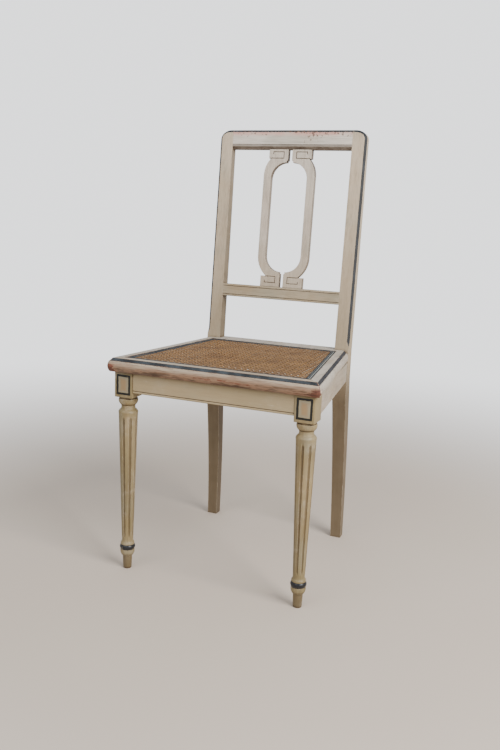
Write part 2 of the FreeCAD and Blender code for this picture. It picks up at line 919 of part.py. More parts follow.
def rebates(name):
    """What the cane panel and its splines take out of the frame's inner edge."""
    panel_bed = prism(name + "_bed", trapezium(wall, wall_back), ledge, "ledge_depth + cut_overrun")
    grooves = prism(name + "_groove", trapezium(wall, wall_back), groove_bottom,
                    "groove_depth + ledge_depth", trapezium(panel, wall_back + " - spline_width"))
    return [panel_bed, grooves]


def screw_place(corner):
    if corner == "front":
        return block_in + " + screw_aside", "block_width + screw_behind"
    return post_in + " - screw_aside", "post_front - screw_before"


block_low = "(frame_bottom - corner_block_thickness)"


def screw_bore(name, corner):
    """The hole that a corner block's screw fills; its head bears on the block from below."""
    bore = doc.addObject("Part::Cylinder", name)
    across, along = screw_place(corner)
    put(bore, "Radius", "screw_radius + joint_gap")
    put(bore, "Height", "screw_length + 2 * cut_overrun")
    put(bore, "Placement.Base.x", across)
    put(bore, "Placement.Base.y", along)
    put(bore, "Placement.Base.z", block_low + " - cut_overrun")
    return bore


def frame_front():
    bar = body("frame_front_bar")
    reach = "(frame_front_half + cut_overrun)"
    section = outline(sketch_on(bar, "YZ_Plane", "-" + reach),
                      sided(moulded(lambda d: "(%s) - nosing" % d), -1))
    pad(bar, section, "2 * " + reach)
    over = "(frame_rail + cut_overrun)"
    ends = prism("frame_front_ends", [
        ("-" + side_x("-cut_overrun", "-cut_overrun - nosing"), "-cut_overrun - nosing"),
        (side_x("-cut_overrun", "-cut_overrun - nosing"), "-cut_overrun - nosing"),
        (side_x(over, over + " - nosing"), over + " - nosing"),
        ("-" + side_x(over, over + " - nosing"), over + " - nosing"),
    ], "frame_bottom - cut_overrun", "frame_thickness + 2 * cut_overrun")
    mitred = doc.addObject("Part::Common", "frame_front_mitred")
    mitred.Base = bar
    mitred.Tool = ends
    return cut("frame_front_rebated", mitred, rebates("front"))


def frame_side():
    bar = body("frame_side_bar")
    run = "((post_front + nosing) * %s)" % side_secant
    past = "(frame_rail + cut_overrun)"
    section = outline(sketch_on(bar, "XZ_Plane", "-(%s + %s)" % (run, past)),
                      sided(moulded(lambda d: "-(%s)" % d), 1))
    pad(bar, section, run + " + " + past + " + cut_overrun")
    bar.Placement = Placement(Vector(0, 0, 0), Rotation(Vector(0, 0, 1), worth("atan(%s)" % side_slope)))
    put(bar, "Placement.Rotation.Angle", "atan(%s)" % side_slope)
    put(bar, "Placement.Base.x", "frame_front_half")
    put(bar, "Placement.Base.y", "-nosing")
    over = "(frame_rail + cut_overrun)"
    ends = prism("frame_side_ends", [
        (side_x("-cut_overrun", "-cut_overrun - nosing"), "-cut_overrun - nosing"),
        (side_x("-cut_overrun", "post_front"), "post_front"),
        (side_x(over, "post_front"), "post_front"),
        (side_x(over, over + " - nosing"), over + " - nosing"),
    ], "frame_bottom - cut_overrun", "frame_thickness + 2 * cut_overrun")
    mitred = doc.addObject("Part::Common", "frame_side_mitred")
    mitred.Base = bar
    mitred.Tool = ends
    return cut("frame_side_rebated", mitred,
               rebates("side") + [screw_bore("front_bore", "front"), screw_bore("back_bore", "back")])


def frame_back():
    bar = body("frame_back_bar")
    back = "(post_front + frame_rear_reach)"
    front = "(" + wall_back + " + " + wall + " - frame_rail)"
    section = outline(sketch_on(bar, "YZ_Plane", "-" + post_in), [
        (front, "frame_bottom"),
        (back, "frame_bottom"),
        (back, "seat_height - frame_rear_arris", "frame_rear_arris", 1),
        (back + " - frame_rear_arris", "seat_height"),
        (front, "seat_height"),
    ])
    pad(bar, section, "2 * " + post_in)
    plan = prism("frame_back_plan", [
        ("-" + side_x("frame_rail", front), front),
        (side_x("frame_rail", front), front),
        (side_x("frame_rail", "post_front"), "post_front"),
        (post_in, "post_front"),
        (post_in, back + " + cut_overrun"),
        ("-" + post_in, back + " + cut_overrun"),
        ("-" + post_in, "post_front"),
        ("-" + side_x("frame_rail", "post_front"), "post_front"),
    ], "frame_bottom - cut_overrun", "frame_thickness + 2 * cut_overrun")
    fitted = doc.addObject("Part::Common", "frame_back_fitted")
    fitted.Base = bar
    fitted.Tool = plan
    return cut("frame_back_rebated", fitted, rebates("back"))


finish(frame_front(), "seat_frame_front")
pair(frame_side(), "seat_frame_side")
finish(frame_back(), "seat_frame_back")


# Splines that hold the cane down in its groove, mitred at the corners

def spline(name, points):
    made = body(name)
    plan = outline(sketch_on(made, "XY_Plane", groove_bottom), points)
    strip = pad(made, plan, "groove_depth + cane_thickness + spline_crown")
    doc.recompute()
    high = worth(groove_bottom + " + groove_depth + cane_thickness + spline_crown")
    near = worth("joint_gap")
    faces = ["Face%d" % (i + 1) for i, face in enumerate(strip.Shape.Faces)
             if all(abs(v.Z - high) < near for v in face.Vertexes)]
    eased = made.newObject("PartDesign::Chamfer", name + "_eased")
    eased.Base = (strip, faces)
    put(eased, "Size", "spline_arris")
    return made


spline_out = trapezium(wall + " + joint_gap", wall_back + " - joint_gap")
spline_in = trapezium(panel + " - joint_gap", wall_back + " - spline_width + joint_gap")
finish(spline("cane_spline_strip_front", [spline_out[0], spline_out[1], spline_in[1], spline_in[0]]),
       "cane_spline_front")
pair(spline("cane_spline_strip_side", [spline_out[1], spline_out[2], spline_in[2], spline_in[1]]),
     "cane_spline_side")
finish(spline("cane_spline_strip_back", [spline_out[2], spline_out[3], spline_in[3], spline_in[2]]),
       "cane_spline_back")


# Cane panel: a sheet with open eyes, held at its rim

def cane_panel():
    corners = [Vector(worth(a), worth(b), 0) for a, b in trapezium(panel, wall_back + " - spline_width")]
    sheet_face = Part.Face(Part.makePolygon(corners + corners[:1]))
    pitch = worth("cane_pitch")
    reach = worth("cane_hole / 2")
    margin = worth("cane_margin")
    front = corners[0].y + margin + reach
    back = corners[2].y - margin - reach
    rows = int((back - front) / pitch) + 1
    start = (front + back - (rows - 1) * pitch) / 2
    eyes = []
    for row in range(rows):
        here = start + row * pitch
        lean = (corners[1].x - corners[2].x) / (corners[2].y - corners[1].y)
        free = corners[1].x - (here + reach - corners[1].y) * lean - margin - reach
        across = int(free / pitch)
        for column in range(-across, across + 1):
            middle = Vector(column * pitch, here, 0)
            eye = [middle + step * reach for step in (Vector(1, 0, 0), Vector(0, 1, 0),
                                                      Vector(-1, 0, 0), Vector(0, -1, 0))]
            eyes.append(Part.makePolygon(eye + eye[:1]))
    print("cane eyes", len(eyes), "in", rows, "rows")
    net = Part.Face([sheet_face.OuterWire] + eyes)
    net.validate()
    made = doc.addObject("Part::Feature", "cane_net")
    made.Shape = net.extrude(Vector(0, 0, worth("cane_thickness")))
    put(made, "Placement.Base.z", ledge)
    return made


finish(cane_panel(), "cane_panel")


# Corner blocks under the seat frame, each held up by one slotted screw

def apron_in(place_y):
    """The inner face of the side apron at a place along Y."""
    return ("(%s - apron_thickness - ((%s) - block_width) * (%s - %s) / (post_front - block_width))"
            % (apron_out_front, place_y, apron_out_front, apron_out_back))


def corner_block(corner):
    if corner == "front":
        face = "(front_apron_recess + apron_thickness)"
        end = "(block_width + corner_block_reach)"
        plan = [(block_in, face), (block_in, "block_width"), (apron_in("block_width"), "block_width"),
                (apron_in(end), end), (block_in + " - corner_block_run", face)]
    else:
        face = "(post_front + rear_apron_inset)"
        end = "(post_front - corner_block_run)"
        plan = [(apron_in("post_front"), "post_front"), (post_in, "post_front"), (post_in, face),
                (post_in + " - corner_block_run", face), (apron_in(end), end)]
    solid = prism("corner_block_solid_" + corner, plan, block_low, "corner_block_thickness")
    return cut("corner_block_bored_" + corner, solid, [screw_bore("block_bore_" + corner, corner)])


def screw(corner):
    turned = body("screw_turned_" + corner)
    profile = outline(sketch_on(turned, "XZ_Plane"), [
        ("0", "-screw_head_height"),
        ("screw_head_radius", "-screw_head_height"),
        ("screw_head_radius", "0"),
        ("screw_radius", "0"),
        ("screw_radius", "screw_length"),
        ("0", "screw_length"),
    ])
    made = turned.newObject("PartDesign::Revolution", "screw_turning_" + corner)
    made.Profile = profile
    made.ReferenceAxis = (profile, ["V_Axis"])
    made.Angle = 360
    profile.Visibility = False
    across, along = screw_place(corner)
    put(turned, "Placement.Base.x", across)
    put(turned, "Placement.Base.y", along)
    put(turned, "Placement.Base.z", block_low)
    slot = brick("screw_slot_" + corner, [
        across + " - screw_head_radius - cut_overrun", along + " - screw_slot / 2",
        block_low + " - screw_head_height - cut_overrun"],
        ["2 * (screw_head_radius + cut_overrun)", "screw_slot", "screw_slot_depth + cut_overrun"])
    return cut("screw_" + corner, turned, [slot])


for corner in ("front", "back"):
    pair(corner_block(corner), "corner_block_" + corner)
for corner in ("front", "back"):
    pair(screw(corner), "screw_" + corner)


# Check and write

doc.recompute()
broken = [item.Name for item in doc.Objects if "Invalid" in item.State or "Error" in item.State]
if broken:
    raise RuntimeError("failed: " + ", ".join(broken))
for piece in pieces:
    shape = piece.Shape
    if shape.isNull() or not shape.isValid():
        raise RuntimeError("bad shape: " + piece.Label)
    if len(shape.Solids) != 1:
        raise RuntimeError("%s has %d solids" % (piece.Label, len(shape.Solids)))
os.makedirs("parts", exist_ok=True)
for piece in pieces:
    piece.Shape.exportStep("parts/%s.step" % piece.Label)
    box = piece.Shape.BoundBox
    print("%-22s %8.1f cm3  x %7.1f %7.1f  y %7.1f %7.1f  z %7.1f %7.1f" % (
        piece.Label, piece.Shape.Volume / 1000, box.XMin, box.XMax, box.YMin, box.YMax, box.ZMin, box.ZMax))
print(len(pieces), "pieces")
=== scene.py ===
# %% [markdown]
# # A painted side chair with a cane seat
# The chair is old, carved and turned in wood, painted cream and lined in dark blue. The solid
# model gives every size. Here each piece gets its soft arrises, its flutes, its woven cane and
# its worn paint. All lengths are in metres.

# %% Load the solid model
import math
import random

import bmesh
import bpy
from mathutils import Matrix, Vector


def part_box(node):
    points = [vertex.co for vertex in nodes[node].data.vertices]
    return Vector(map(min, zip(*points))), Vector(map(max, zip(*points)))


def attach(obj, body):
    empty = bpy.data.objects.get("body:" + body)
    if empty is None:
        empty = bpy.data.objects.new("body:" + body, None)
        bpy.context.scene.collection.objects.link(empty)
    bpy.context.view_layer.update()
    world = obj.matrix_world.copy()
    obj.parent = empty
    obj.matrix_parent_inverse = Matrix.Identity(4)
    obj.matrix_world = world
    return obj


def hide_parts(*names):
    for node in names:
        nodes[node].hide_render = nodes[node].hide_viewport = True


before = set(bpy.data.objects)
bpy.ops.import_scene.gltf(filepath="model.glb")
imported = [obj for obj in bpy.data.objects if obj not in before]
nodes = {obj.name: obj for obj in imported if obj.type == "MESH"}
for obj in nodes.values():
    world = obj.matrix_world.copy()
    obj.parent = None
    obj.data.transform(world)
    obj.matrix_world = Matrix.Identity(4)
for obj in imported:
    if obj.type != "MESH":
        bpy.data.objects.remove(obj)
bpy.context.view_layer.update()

# %% [markdown]
# ## The camera
# The eye stands a little to the chair's right and looks slightly down. The lens and the place
# were worked out from the chair's own straight edges. The camera's axes are built from three
# turns: round the upright, down, and a small roll.

# %% Camera
eye = Vector((0.6202, -1.5288, 0.7514))
turn, tilt, roll = 0.38487, -0.20701, 0.03844
ahead = Vector((-math.sin(turn) * math.cos(tilt), math.cos(turn) * math.cos(tilt), math.sin(tilt)))
level = Vector((math.cos(turn), math.sin(turn), 0))
across = math.cos(roll) * level + math.sin(roll) * level.cross(ahead)
lens = bpy.data.cameras.new("camera")
lens.sensor_fit = "VERTICAL"
lens.sensor_height = 36
lens.lens = 38.06
camera = bpy.data.objects.new("camera", lens)
camera.matrix_world = (Matrix.Translation(eye)
                       @ Matrix((across, across.cross(ahead), -ahead)).transposed().to_4x4())
bpy.context.scene.collection.objects.link(camera)
bpy.context.scene.camera = camera
print("camera", round(lens.lens, 2), "mm lens at", tuple(round(c, 3) for c in eye))

# %% [markdown]
# ## Shorthand for shader trees
# A shader tree is nodes and the links between them. These helpers place a node, feed its
# sockets with numbers or with other nodes' outputs, and give the result back.

# %% Shader helpers
def feed(tree, node, feeds):
    """Puts a number in each socket that is named, or a link from another node's output."""
    for socket, value in dict(feeds).items():
        if isinstance(value, bpy.types.NodeSocket):
            tree.links.new(value, node.inputs[socket])
        else:
            node.inputs[socket].default_value = value
    return node


def place(tree, kind, feeds=(), **settings):
    node = tree.nodes.new("ShaderNode" + kind)
    for name, value in settings.items():
        setattr(node, name, value)
    return feed(tree, node, feeds)


def maths(tree, way, *values, clamp=False):
    return place(tree, "Math", dict(enumerate(values)), operation=way, use_clamp=clamp).outputs[0]


def plus(tree, one, two):
    return maths(tree, "ADD", one, two)


def less(tree, one, two):
    return maths(tree, "SUBTRACT", one, two)


def times(tree, one, two):
    return maths(tree, "MULTIPLY", one, two)


def vectors(tree, way, one, two):
    node = place(tree, "VectorMath", {0: one, 1: two}, operation=way)
    return node.outputs["Value" if way == "DOT_PRODUCT" else "Vector"]


# %% Noise, ramps and colours
def noise(tree, where, scale, detail=2.0, rough=0.5, warp=0.0):
    """Cloudy noise between 0 and 1, whose marks are about 1 / scale metres wide."""
    return place(tree, "TexNoise", {"Vector": where, "Scale": scale, "Detail": detail,
                                    "Roughness": rough, "Distortion": warp}).outputs["Fac"]


def ramp(tree, value, low, high, first=0.0, last=1.0):
    """Goes smoothly from first to last while the value goes from low to high."""
    return place(tree, "MapRange", {"Value": value, "From Min": low, "From Max": high,
                                    "To Min": first, "To Max": last},
                 interpolation_type="SMOOTHSTEP").outputs["Result"]


def tint(tree, share, one, two):
    """Goes from colour one to colour two as the share goes from 0 to 1."""
    return place(tree, "Mix", {0: share, 6: one, 7: two}, data_type="RGBA").outputs[2]


def bump(tree, height, strength, distance):
    return place(tree, "Bump", {"Height": height, "Strength": strength,
                                "Distance": distance}).outputs["Normal"]


def rgb(red, green, blue):
    """A colour as it looks on a screen, 0 to 255, turned into the linear one that shaders use."""
    return tuple(((c / 255 + 0.055) / 1.055) ** 2.4 for c in (red, green, blue)) + (1.0,)


# %% Groups and finishes
def start_group(name, inputs, outputs):
    """A new node group with named sockets. Gives its tree, its inputs and its output node."""
    tree = bpy.data.node_groups.new(name, "ShaderNodeTree")
    for label, value in inputs.items():
        kind = "Vector" if isinstance(value, tuple) else "Float"
        made = tree.interface.new_socket(name=label, in_out="INPUT",
                                         socket_type="NodeSocket" + kind)
        made.default_value = value
    for label in outputs:
        tree.interface.new_socket(name=label, in_out="OUTPUT", socket_type="NodeSocketFloat")
    print("group", name, "gives", ", ".join(outputs))
    return tree, tree.nodes.new("NodeGroupInput").outputs, tree.nodes.new("NodeGroupOutput")


def use_group(tree, name, feeds):
    node = tree.nodes.new("ShaderNodeGroup")
    node.node_tree = bpy.data.node_groups[name]
    return feed(tree, node, feeds).outputs


def start_finish(name):
    """A new material. Gives it, its tree, its shader, and each point's place on the chair."""
    finish = bpy.data.materials.new(name)
    finish.use_nodes = True
    tree = finish.node_tree
    where = place(tree, "TexCoord").outputs["Object"]
    return finish, tree, tree.nodes["Principled BSDF"], where


# %% [markdown]
# ## Light
# The photograph has soft daylight from the right. One large lamp gives that, a weaker one fills
# the front, and a pale sky keeps the shaded sides readable from every angle. Behind the chair the
# sky shows as bright as a whitewashed wall, which is more than it should give as light, so rays
# that come straight from the camera see a brighter one.

# %% Lamps and sky
aim = Vector((0, 0, 0.46))
seen_white = {"Color": (0.93, 0.94, 0.96, 1), "Strength": 2.0}


def soft_lamp(name, spot, size, power, colour):
    light = bpy.data.lights.new(name, "AREA")
    light.size = size
    light.energy = power
    light.color = colour
    lamp = bpy.data.objects.new(name, light)
    lamp.location = spot
    lamp.rotation_euler = (aim - Vector(spot)).to_track_quat("-Z", "Y").to_euler()
    bpy.context.scene.collection.objects.link(lamp)


soft_lamp("window", (2.4, -1.1, 2.1), size=1.6, power=128, colour=(1.0, 0.98, 0.96))
soft_lamp("room", (-0.7, -2.6, 2.6), size=2.4, power=34, colour=(1.0, 0.98, 0.95))
sky = bpy.data.worlds.new("sky")
sky.use_nodes = True
tree = sky.node_tree
lit = feed(tree, tree.nodes["Background"], {"Color": (0.83, 0.86, 0.9, 1), "Strength": 0.8})
seen = place(tree, "Background", seen_white)
either = place(tree, "MixShader", {0: place(tree, "LightPath").outputs["Is Camera Ray"],
                                   1: lit.outputs[0], 2: seen.outputs[0]})
feed(tree, tree.nodes["World Output"], {"Surface": either.outputs[0]})
bpy.context.scene.world = sky

# %% [markdown]
# ## Brush marks
# Hand-painted wood shows fine streaks along the piece, where the bristles ran, and broad cloudy
# changes of tone. Noise that is squeezed along one axis gives the streaks. The squeeze is an
# input, because rails run across the chair and legs run up it. Old varnish has yellowed in some
# places and the paint has greyed in others, so two more noises say where.

# %% Brush marks group
tree, given, ending = start_group("brush_marks", {"Place": (0, 0, 0), "Squeeze": (1, 1, 1)},
                                  ["Streaks", "Cloud", "Patches", "Warm", "Cool"])
along = vectors(tree, "MULTIPLY", given["Place"], given["Squeeze"])
bristles = times(tree, noise(tree, along, 520, 3.0, 0.6), 0.6)
strokes = times(tree, noise(tree, along, 130, 2.0, 0.5), 0.4)
feed(tree, ending, {"Streaks": plus(tree, bristles, strokes),
                    "Cloud": noise(tree, given["Place"], 7, 2.0),
                    "Patches": noise(tree, given["Place"], 38, 3.0, 0.6, 0.4)})
smeared = vectors(tree, "MULTIPLY", along, (0.5, 0.5, 0.5))
for label, shift in (("Warm", (3.1, 0.7, 1.9)), ("Cool", (0.4, 2.3, 5.2))):
    drawn = noise(tree, vectors(tree, "ADD", smeared, shift), 110, 3.0)
    broad = noise(tree, vectors(tree, "ADD", given["Place"], shift), 16, 2.0, 0.5)
    feed(tree, ending, {label: plus(tree, times(tree, broad, 0.55), times(tree, drawn, 0.45))})

# %% [markdown]
# ## Wear on the arrises
# Paint rubs off first where an edge sticks out. The Bevel node gives the normal of a rounded
# edge, and where that differs from the real normal there is an edge. The Ambient Occlusion node
# takes the inner corners out again. Noise breaks the line up, so that the wear comes in patches.
# The noise is drawn out along the piece, because hands and cloths rub along it.

# %% Worn arris group
tree, given, ending = start_group(
    "worn_arris", {"Place": (0, 0, 0), "Stretch": (1, 1, 1), "Reach": 0.0022, "Amount": 0.5,
                   "Rubbed": 0.0}, ["Bare", "Thin"])
rounded = place(tree, "Bevel", {"Radius": given["Reach"]}, samples=6).outputs["Normal"]
facing = place(tree, "NewGeometry").outputs["Normal"]
edge = ramp(tree, less(tree, 1.0, vectors(tree, "DOT_PRODUCT", rounded, facing)), 0.0, 0.16)
open_side = place(tree, "AmbientOcclusion", {"Distance": 0.004}, samples=6,
                  only_local=True).outputs["AO"]
edge = times(tree, edge, ramp(tree, open_side, 0.55, 0.9))
drawn = vectors(tree, "MULTIPLY", given["Place"], given["Stretch"])
uneven = plus(tree, times(tree, noise(tree, drawn, 70, 4.0, 0.62), 0.62),
              times(tree, noise(tree, drawn, 420, 3.0, 0.6), 0.38))
push = plus(tree, times(tree, edge, given["Amount"]), given["Rubbed"])
worn = plus(tree, uneven, times(tree, push, 0.5))
feed(tree, ending, {"Bare": ramp(tree, worn, 0.74, 0.78), "Thin": ramp(tree, worn, 0.62, 0.72)})

# %% [markdown]
# ## Dirt in the corners
# Old wax and dust stay in grooves, flutes and along joints. Ambient occlusion finds them: the
# less open sky a point sees close by, the more dirt it holds.

# %% Corner dirt group
tree, given, ending = start_group(
    "corner_dirt", {"Place": (0, 0, 0), "Reach": 0.01, "Amount": 0.6}, ["Dirt"])
open_sky = place(tree, "AmbientOcclusion", {"Distance": given["Reach"]}, samples=8).outputs["AO"]
shut = ramp(tree, less(tree, 1.0, open_sky), 0.12, 0.62)
uneven = ramp(tree, noise(tree, given["Place"], 90, 3.0, 0.6), 0.25, 0.75, 0.65, 1.25)
feed(tree, ending, {"Dirt": maths(tree, "MULTIPLY", times(tree, shut, uneven), given["Amount"],
                                  clamp=True)})

# %% [markdown]
# ## Chips
# Small knocks have flaked the paint off in dots and short dashes. A noise cut off near its top
# leaves a few small islands, and a second, broader noise keeps them in loose groups.

# %% Chips group
tree, given, ending = start_group(
    "chips", {"Place": (0, 0, 0), "Scale": 160.0, "Amount": 0.3}, ["Chip"])
dots = noise(tree, given["Place"], given["Scale"], 2.5, 0.55, 0.3)
groups = ramp(tree, noise(tree, given["Place"], 14, 1.0), 0.42, 0.66, -0.05, 0.05)
limit = less(tree, 0.81, times(tree, given["Amount"], 0.16))
over = less(tree, plus(tree, dots, groups), limit)
feed(tree, ending, {"Chip": ramp(tree, over, 0.0, 0.018)})

# %% [markdown]
# ## The painted rectangles
# Each leg block carries a thin upright rectangle, lined with a brush in near-black green. It is
# paint and not a groove, so it is a mask: the distance to the rectangle's outline, with a small
# wobble from the hand that drew it. Both legs share it, because it reads the distance from the
# chair's middle. Inside the line the paint is greyer near the edge and yellower in the centre.

# %% Lined rectangle group
blur, wobble_width = 0.0003, 0.0016
tree, given, ending = start_group(
    "lined_box", {"Place": (0, 0, 0), "Out": 0.19, "Up": 0.4, "Half Width": 0.015,
                  "Half Height": 0.02, "Line": 0.003, "Front": -0.19},
    ["Line", "Inside", "Centre"])
parts = place(tree, "SeparateXYZ", {0: given["Place"]}).outputs
wobble = times(tree, less(tree, noise(tree, given["Place"], 120, 2.0), 0.5), wobble_width)
aside = maths(tree, "ABSOLUTE", less(tree, maths(tree, "ABSOLUTE", parts["X"]), given["Out"]))
above = maths(tree, "ABSOLUTE", less(tree, parts["Z"], given["Up"]))
outside = plus(tree, wobble, maths(tree, "MAXIMUM", less(tree, aside, given["Half Width"]),
                                   less(tree, above, given["Half Height"])))
within = plus(tree, outside, given["Line"])
line = times(tree, ramp(tree, outside, blur, -blur), ramp(tree, within, -blur, blur))
centre = ramp(tree, plus(tree, within, times(tree, wobble, 3.0)), 0.001, -0.0085)
on_front = ramp(tree, parts["Y"], given["Front"], less(tree, given["Front"], 0.0005))
for label, mask in (("Line", line), ("Inside", ramp(tree, within, 0.0, -2 * blur)),
                    ("Centre", centre)):
    feed(tree, ending, {label: times(tree, mask, on_front)})

# %% [markdown]
# ## Places that the paint goes by
# Some marks of age have their own place on the chair, such as the pink that shows along the
# crest rail. The solid model says where those pieces are.

# %% Places and directions
block_low, block_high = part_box("front_leg_right")
block_out, block_up = (block_low.x + block_high.x) / 2, 0.3985
rectangle = {"Out": block_out, "Up": block_up, "Half Width": 0.0157, "Half Height": 0.0206,
             "Line": 0.0045, "Front": block_low.y + 0.0012}
crest_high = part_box("crest_rail")[1]
crest_rear, crest_top = crest_high.y, crest_high.z
seat_low, seat_top = (corner.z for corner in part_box("seat_frame_front"))
along_x, along_y, along_z = (0.06, 1, 1), (1, 0.06, 1), (1, 1, 0.06)
print("crest top", round(crest_top, 4), "seat frame from", round(seat_low, 4), "to",
      round(seat_top, 4))

# %% [markdown]
# ## Painted wood
# One recipe makes every painted finish. First comes cream in two tones, with thin, yellowed and
# greyed places and dirt in the brush marks. Then come pink, furrows, and painted shade between
# two heights, where a finish asks for them. Then, where a face is marked for them, come the stain
# colour, which paints real stains, painted shade on some faces and a pale painted highlight on
# others, and the blue lining. Then come dirt in the corners, and chips. Last are the worn edges,
# which show first a pale undercoat and then reddish wood.

# %% Colours of paint and age
navy = rgb(22, 27, 32)
slate = rgb(62, 70, 76)
black_green = rgb(9, 12, 9)
undercoat = rgb(196, 184, 164)
pink_ground = rgb(206, 146, 132)
ochre = rgb(160, 132, 88)
grey_green = rgb(146, 146, 130)
red_wood = rgb(140, 88, 66)
dark_wood = rgb(84, 52, 38)
furrow_brown = rgb(96, 70, 52)
chip_brown = rgb(92, 64, 48)
old_dirt = rgb(78, 58, 36)


# %% Coats of paint
def paint_coats(tree, marks, cream, deep, mottle, warm, cool):
    """Cream with thin, yellowed and greyed places, and dirt in its brush marks."""
    colour = tint(tree, ramp(tree, marks["Cloud"], 0.3, 0.7), cream, deep)
    for mark, low, high, share, tone in (
            ("Patches", 0.52, 0.72, 0.3, undercoat), ("Warm", 0.47, 0.66, warm, ochre),
            ("Cool", 0.47, 0.66, cool, grey_green), ("Streaks", 0.4, 0.66, 0.26, old_dirt)):
        colour = tint(tree, ramp(tree, marks[mark], low, high, 0.0, share * mottle), colour, tone)
    return colour


def crest_pink(tree, parts, marks, colour, share):
    """The pink ground coat shows in patches along the top of the crest rail."""
    near_top = ramp(tree, parts["Z"], crest_top - 0.016, crest_top - 0.006, 0.0, share)
    patches = ramp(tree, marks["Warm"], 0.38, 0.54)
    return tint(tree, times(tree, near_top, patches), colour, pink_ground)


def crest_flaking(tree, parts, least):
    """Chips gather along the crest rail's top, more to the right and fewer at its back."""
    near_top = ramp(tree, parts["Z"], crest_top - 0.022, crest_top - 0.008, least, least + 0.85)
    amount = plus(tree, near_top, ramp(tree, parts["X"], -0.03, 0.02, 0.0, 0.55))
    return times(tree, amount,
                 ramp(tree, parts["Y"], crest_rear - 0.01, crest_rear - 0.005, 1.0, 0.45))


def line_blocks(tree, where, colour):
    box = use_group(tree, "lined_box", {"Place": where, **rectangle})
    for mask, share, tone in (("Inside", 0.5, rgb(152, 154, 140)),
                              ("Centre", 0.7, rgb(154, 120, 78))):
        colour = tint(tree, times(tree, box[mask], share), colour, tone)
    return tint(tree, box["Line"], colour, black_green)


# %% Painted wood recipe
def painted_wood(name, squeeze, cream, deep, wear=0.5, reach=0.0022, dirt=0.6, dirt_reach=0.01,
                 chip=0.25, rectangles=False, shine=0.38, blush=0.0, stain=rgb(122, 100, 74),
                 warm=0.3, cool=0.3, blues=(navy, slate), bare=(red_wood, dark_wood), painted_shades=(),
                 mottle=1.0, thin=undercoat, patchy=0.1, rough_lining=0.12, grain=0.0):
    """The shades are painted shade: for each, the heights where it starts and is full, a share, a
    colour.
    """
    finish, tree, shader, where = start_finish(name)
    parts = place(tree, "SeparateXYZ", {0: where}).outputs
    lining, rubbed, stained = (place(tree, "Attribute", attribute_name=label).outputs["Fac"]
                               for label in ("lining", "rubbed", "stained"))
    marks = use_group(tree, "brush_marks", {"Place": where, "Squeeze": squeeze})
    colour = paint_coats(tree, marks, cream, deep, mottle, warm, cool)
    if blush:
        colour = crest_pink(tree, parts, marks, colour, blush)
    if grain:
        furrows = times(tree, ramp(tree, rubbed, 0.0, 0.4, 0.0, grain),
                        ramp(tree, marks["Streaks"], 0.47, 0.57))
        colour = tint(tree, furrows, colour, furrow_brown)
    # Painted shade: the colour darkens between two heights, a little patchily.
    for high, low, share, shade in painted_shades:
        sunk = times(tree, ramp(tree, parts["Z"], high, low, 0.0, share),
                     ramp(tree, marks["Warm"], 0.4, 0.6, 1.0, 1.0 - patchy))
        colour = tint(tree, sunk, colour, shade)
    # The third face mark brings in the stain colour: real stains, painted shade, and on the splines
    # a painted highlight.
    stained = times(tree, stained, ramp(tree, marks["Patches"], 0.2, 0.6, 1.0, 0.75))
    colour = tint(tree, stained, colour, stain)
    blue = tint(tree, ramp(tree, marks["Patches"], 0.35, 0.7, 0.0, 0.8), *blues)
    colour = tint(tree, lining, colour, blue)
    if rectangles:
        colour = line_blocks(tree, where, colour)
    soil = use_group(tree, "corner_dirt", {"Place": where, "Reach": dirt_reach, "Amount": dirt})
    colour = tint(tree, soil["Dirt"], colour, old_dirt)
    flaking = crest_flaking(tree, parts, chip) if blush else chip
    flakes = use_group(tree, "chips", {"Place": where, "Scale": 170.0, "Amount": flaking})["Chip"]
    colour = tint(tree, times(tree, flakes, 0.75), colour, chip_brown)
    worn = use_group(tree, "worn_arris", {
        "Place": where, "Stretch": tuple(0.9 * share + 0.08 for share in squeeze),
        "Reach": reach, "Amount": wear, "Rubbed": rubbed})
    colour = tint(tree, times(tree, worn["Thin"], 0.7), colour, thin)
    wood = tint(tree, ramp(tree, marks["Streaks"], 0.35, 0.7), *bare)
    colour = tint(tree, worn["Bare"], colour, wood)
    rough = plus(tree, times(tree, marks["Streaks"], 0.25),
                 plus(tree, shine, times(tree, worn["Bare"], 0.2)))
    rough = plus(tree, rough, times(tree, lining, rough_lining))
    lost = plus(tree, times(tree, worn["Bare"], 0.5), times(tree, flakes, 0.6))
    skin = less(tree, times(tree, marks["Streaks"], 0.35), lost)
    feed(tree, shader, {"Base Color": colour, "Roughness": rough,
                        "Normal": bump(tree, skin, 0.45, 0.0006)})
    return finish


# %% [markdown]
# ## The finishes of this chair
# Rails run along X, the seat's sides along Y, posts and legs along Z. A squeeze of 0.06 makes the
# streaks about sixteen times as long as they are wide. The front edge of the seat is the most
# worn place, and the legs hold the most dirt. The posts and the splat are painted darker towards
# the floor: painted shade, strongest on the posts in the seat's shadow, with some grime there. The
# lower half of the seat's rounded front edge, which turns away from the light, has painted shade
# too.

# %% Finishes of the legs and aprons
leg_paint = painted_wood(
    "leg_paint", along_z, rgb(151, 134, 98), rgb(130, 115, 79), wear=0.35, dirt=1.0,
    dirt_reach=0.007, rectangles=True, stain=rgb(82, 65, 42),
    blues=(rgb(13, 14, 17), rgb(30, 32, 38)), rough_lining=-0.17)
apron_paint = painted_wood(
    "apron_paint", along_x, rgb(172, 154, 121), rgb(163, 146, 112), wear=0.2, dirt=0.95,
    dirt_reach=0.012, chip=0.1, stain=rgb(42, 28, 16), mottle=0.35)
side_paint = painted_wood(
    "side_paint", along_y, rgb(182, 169, 155), rgb(170, 156, 137), wear=0.3, dirt=0.8, chip=0.15)
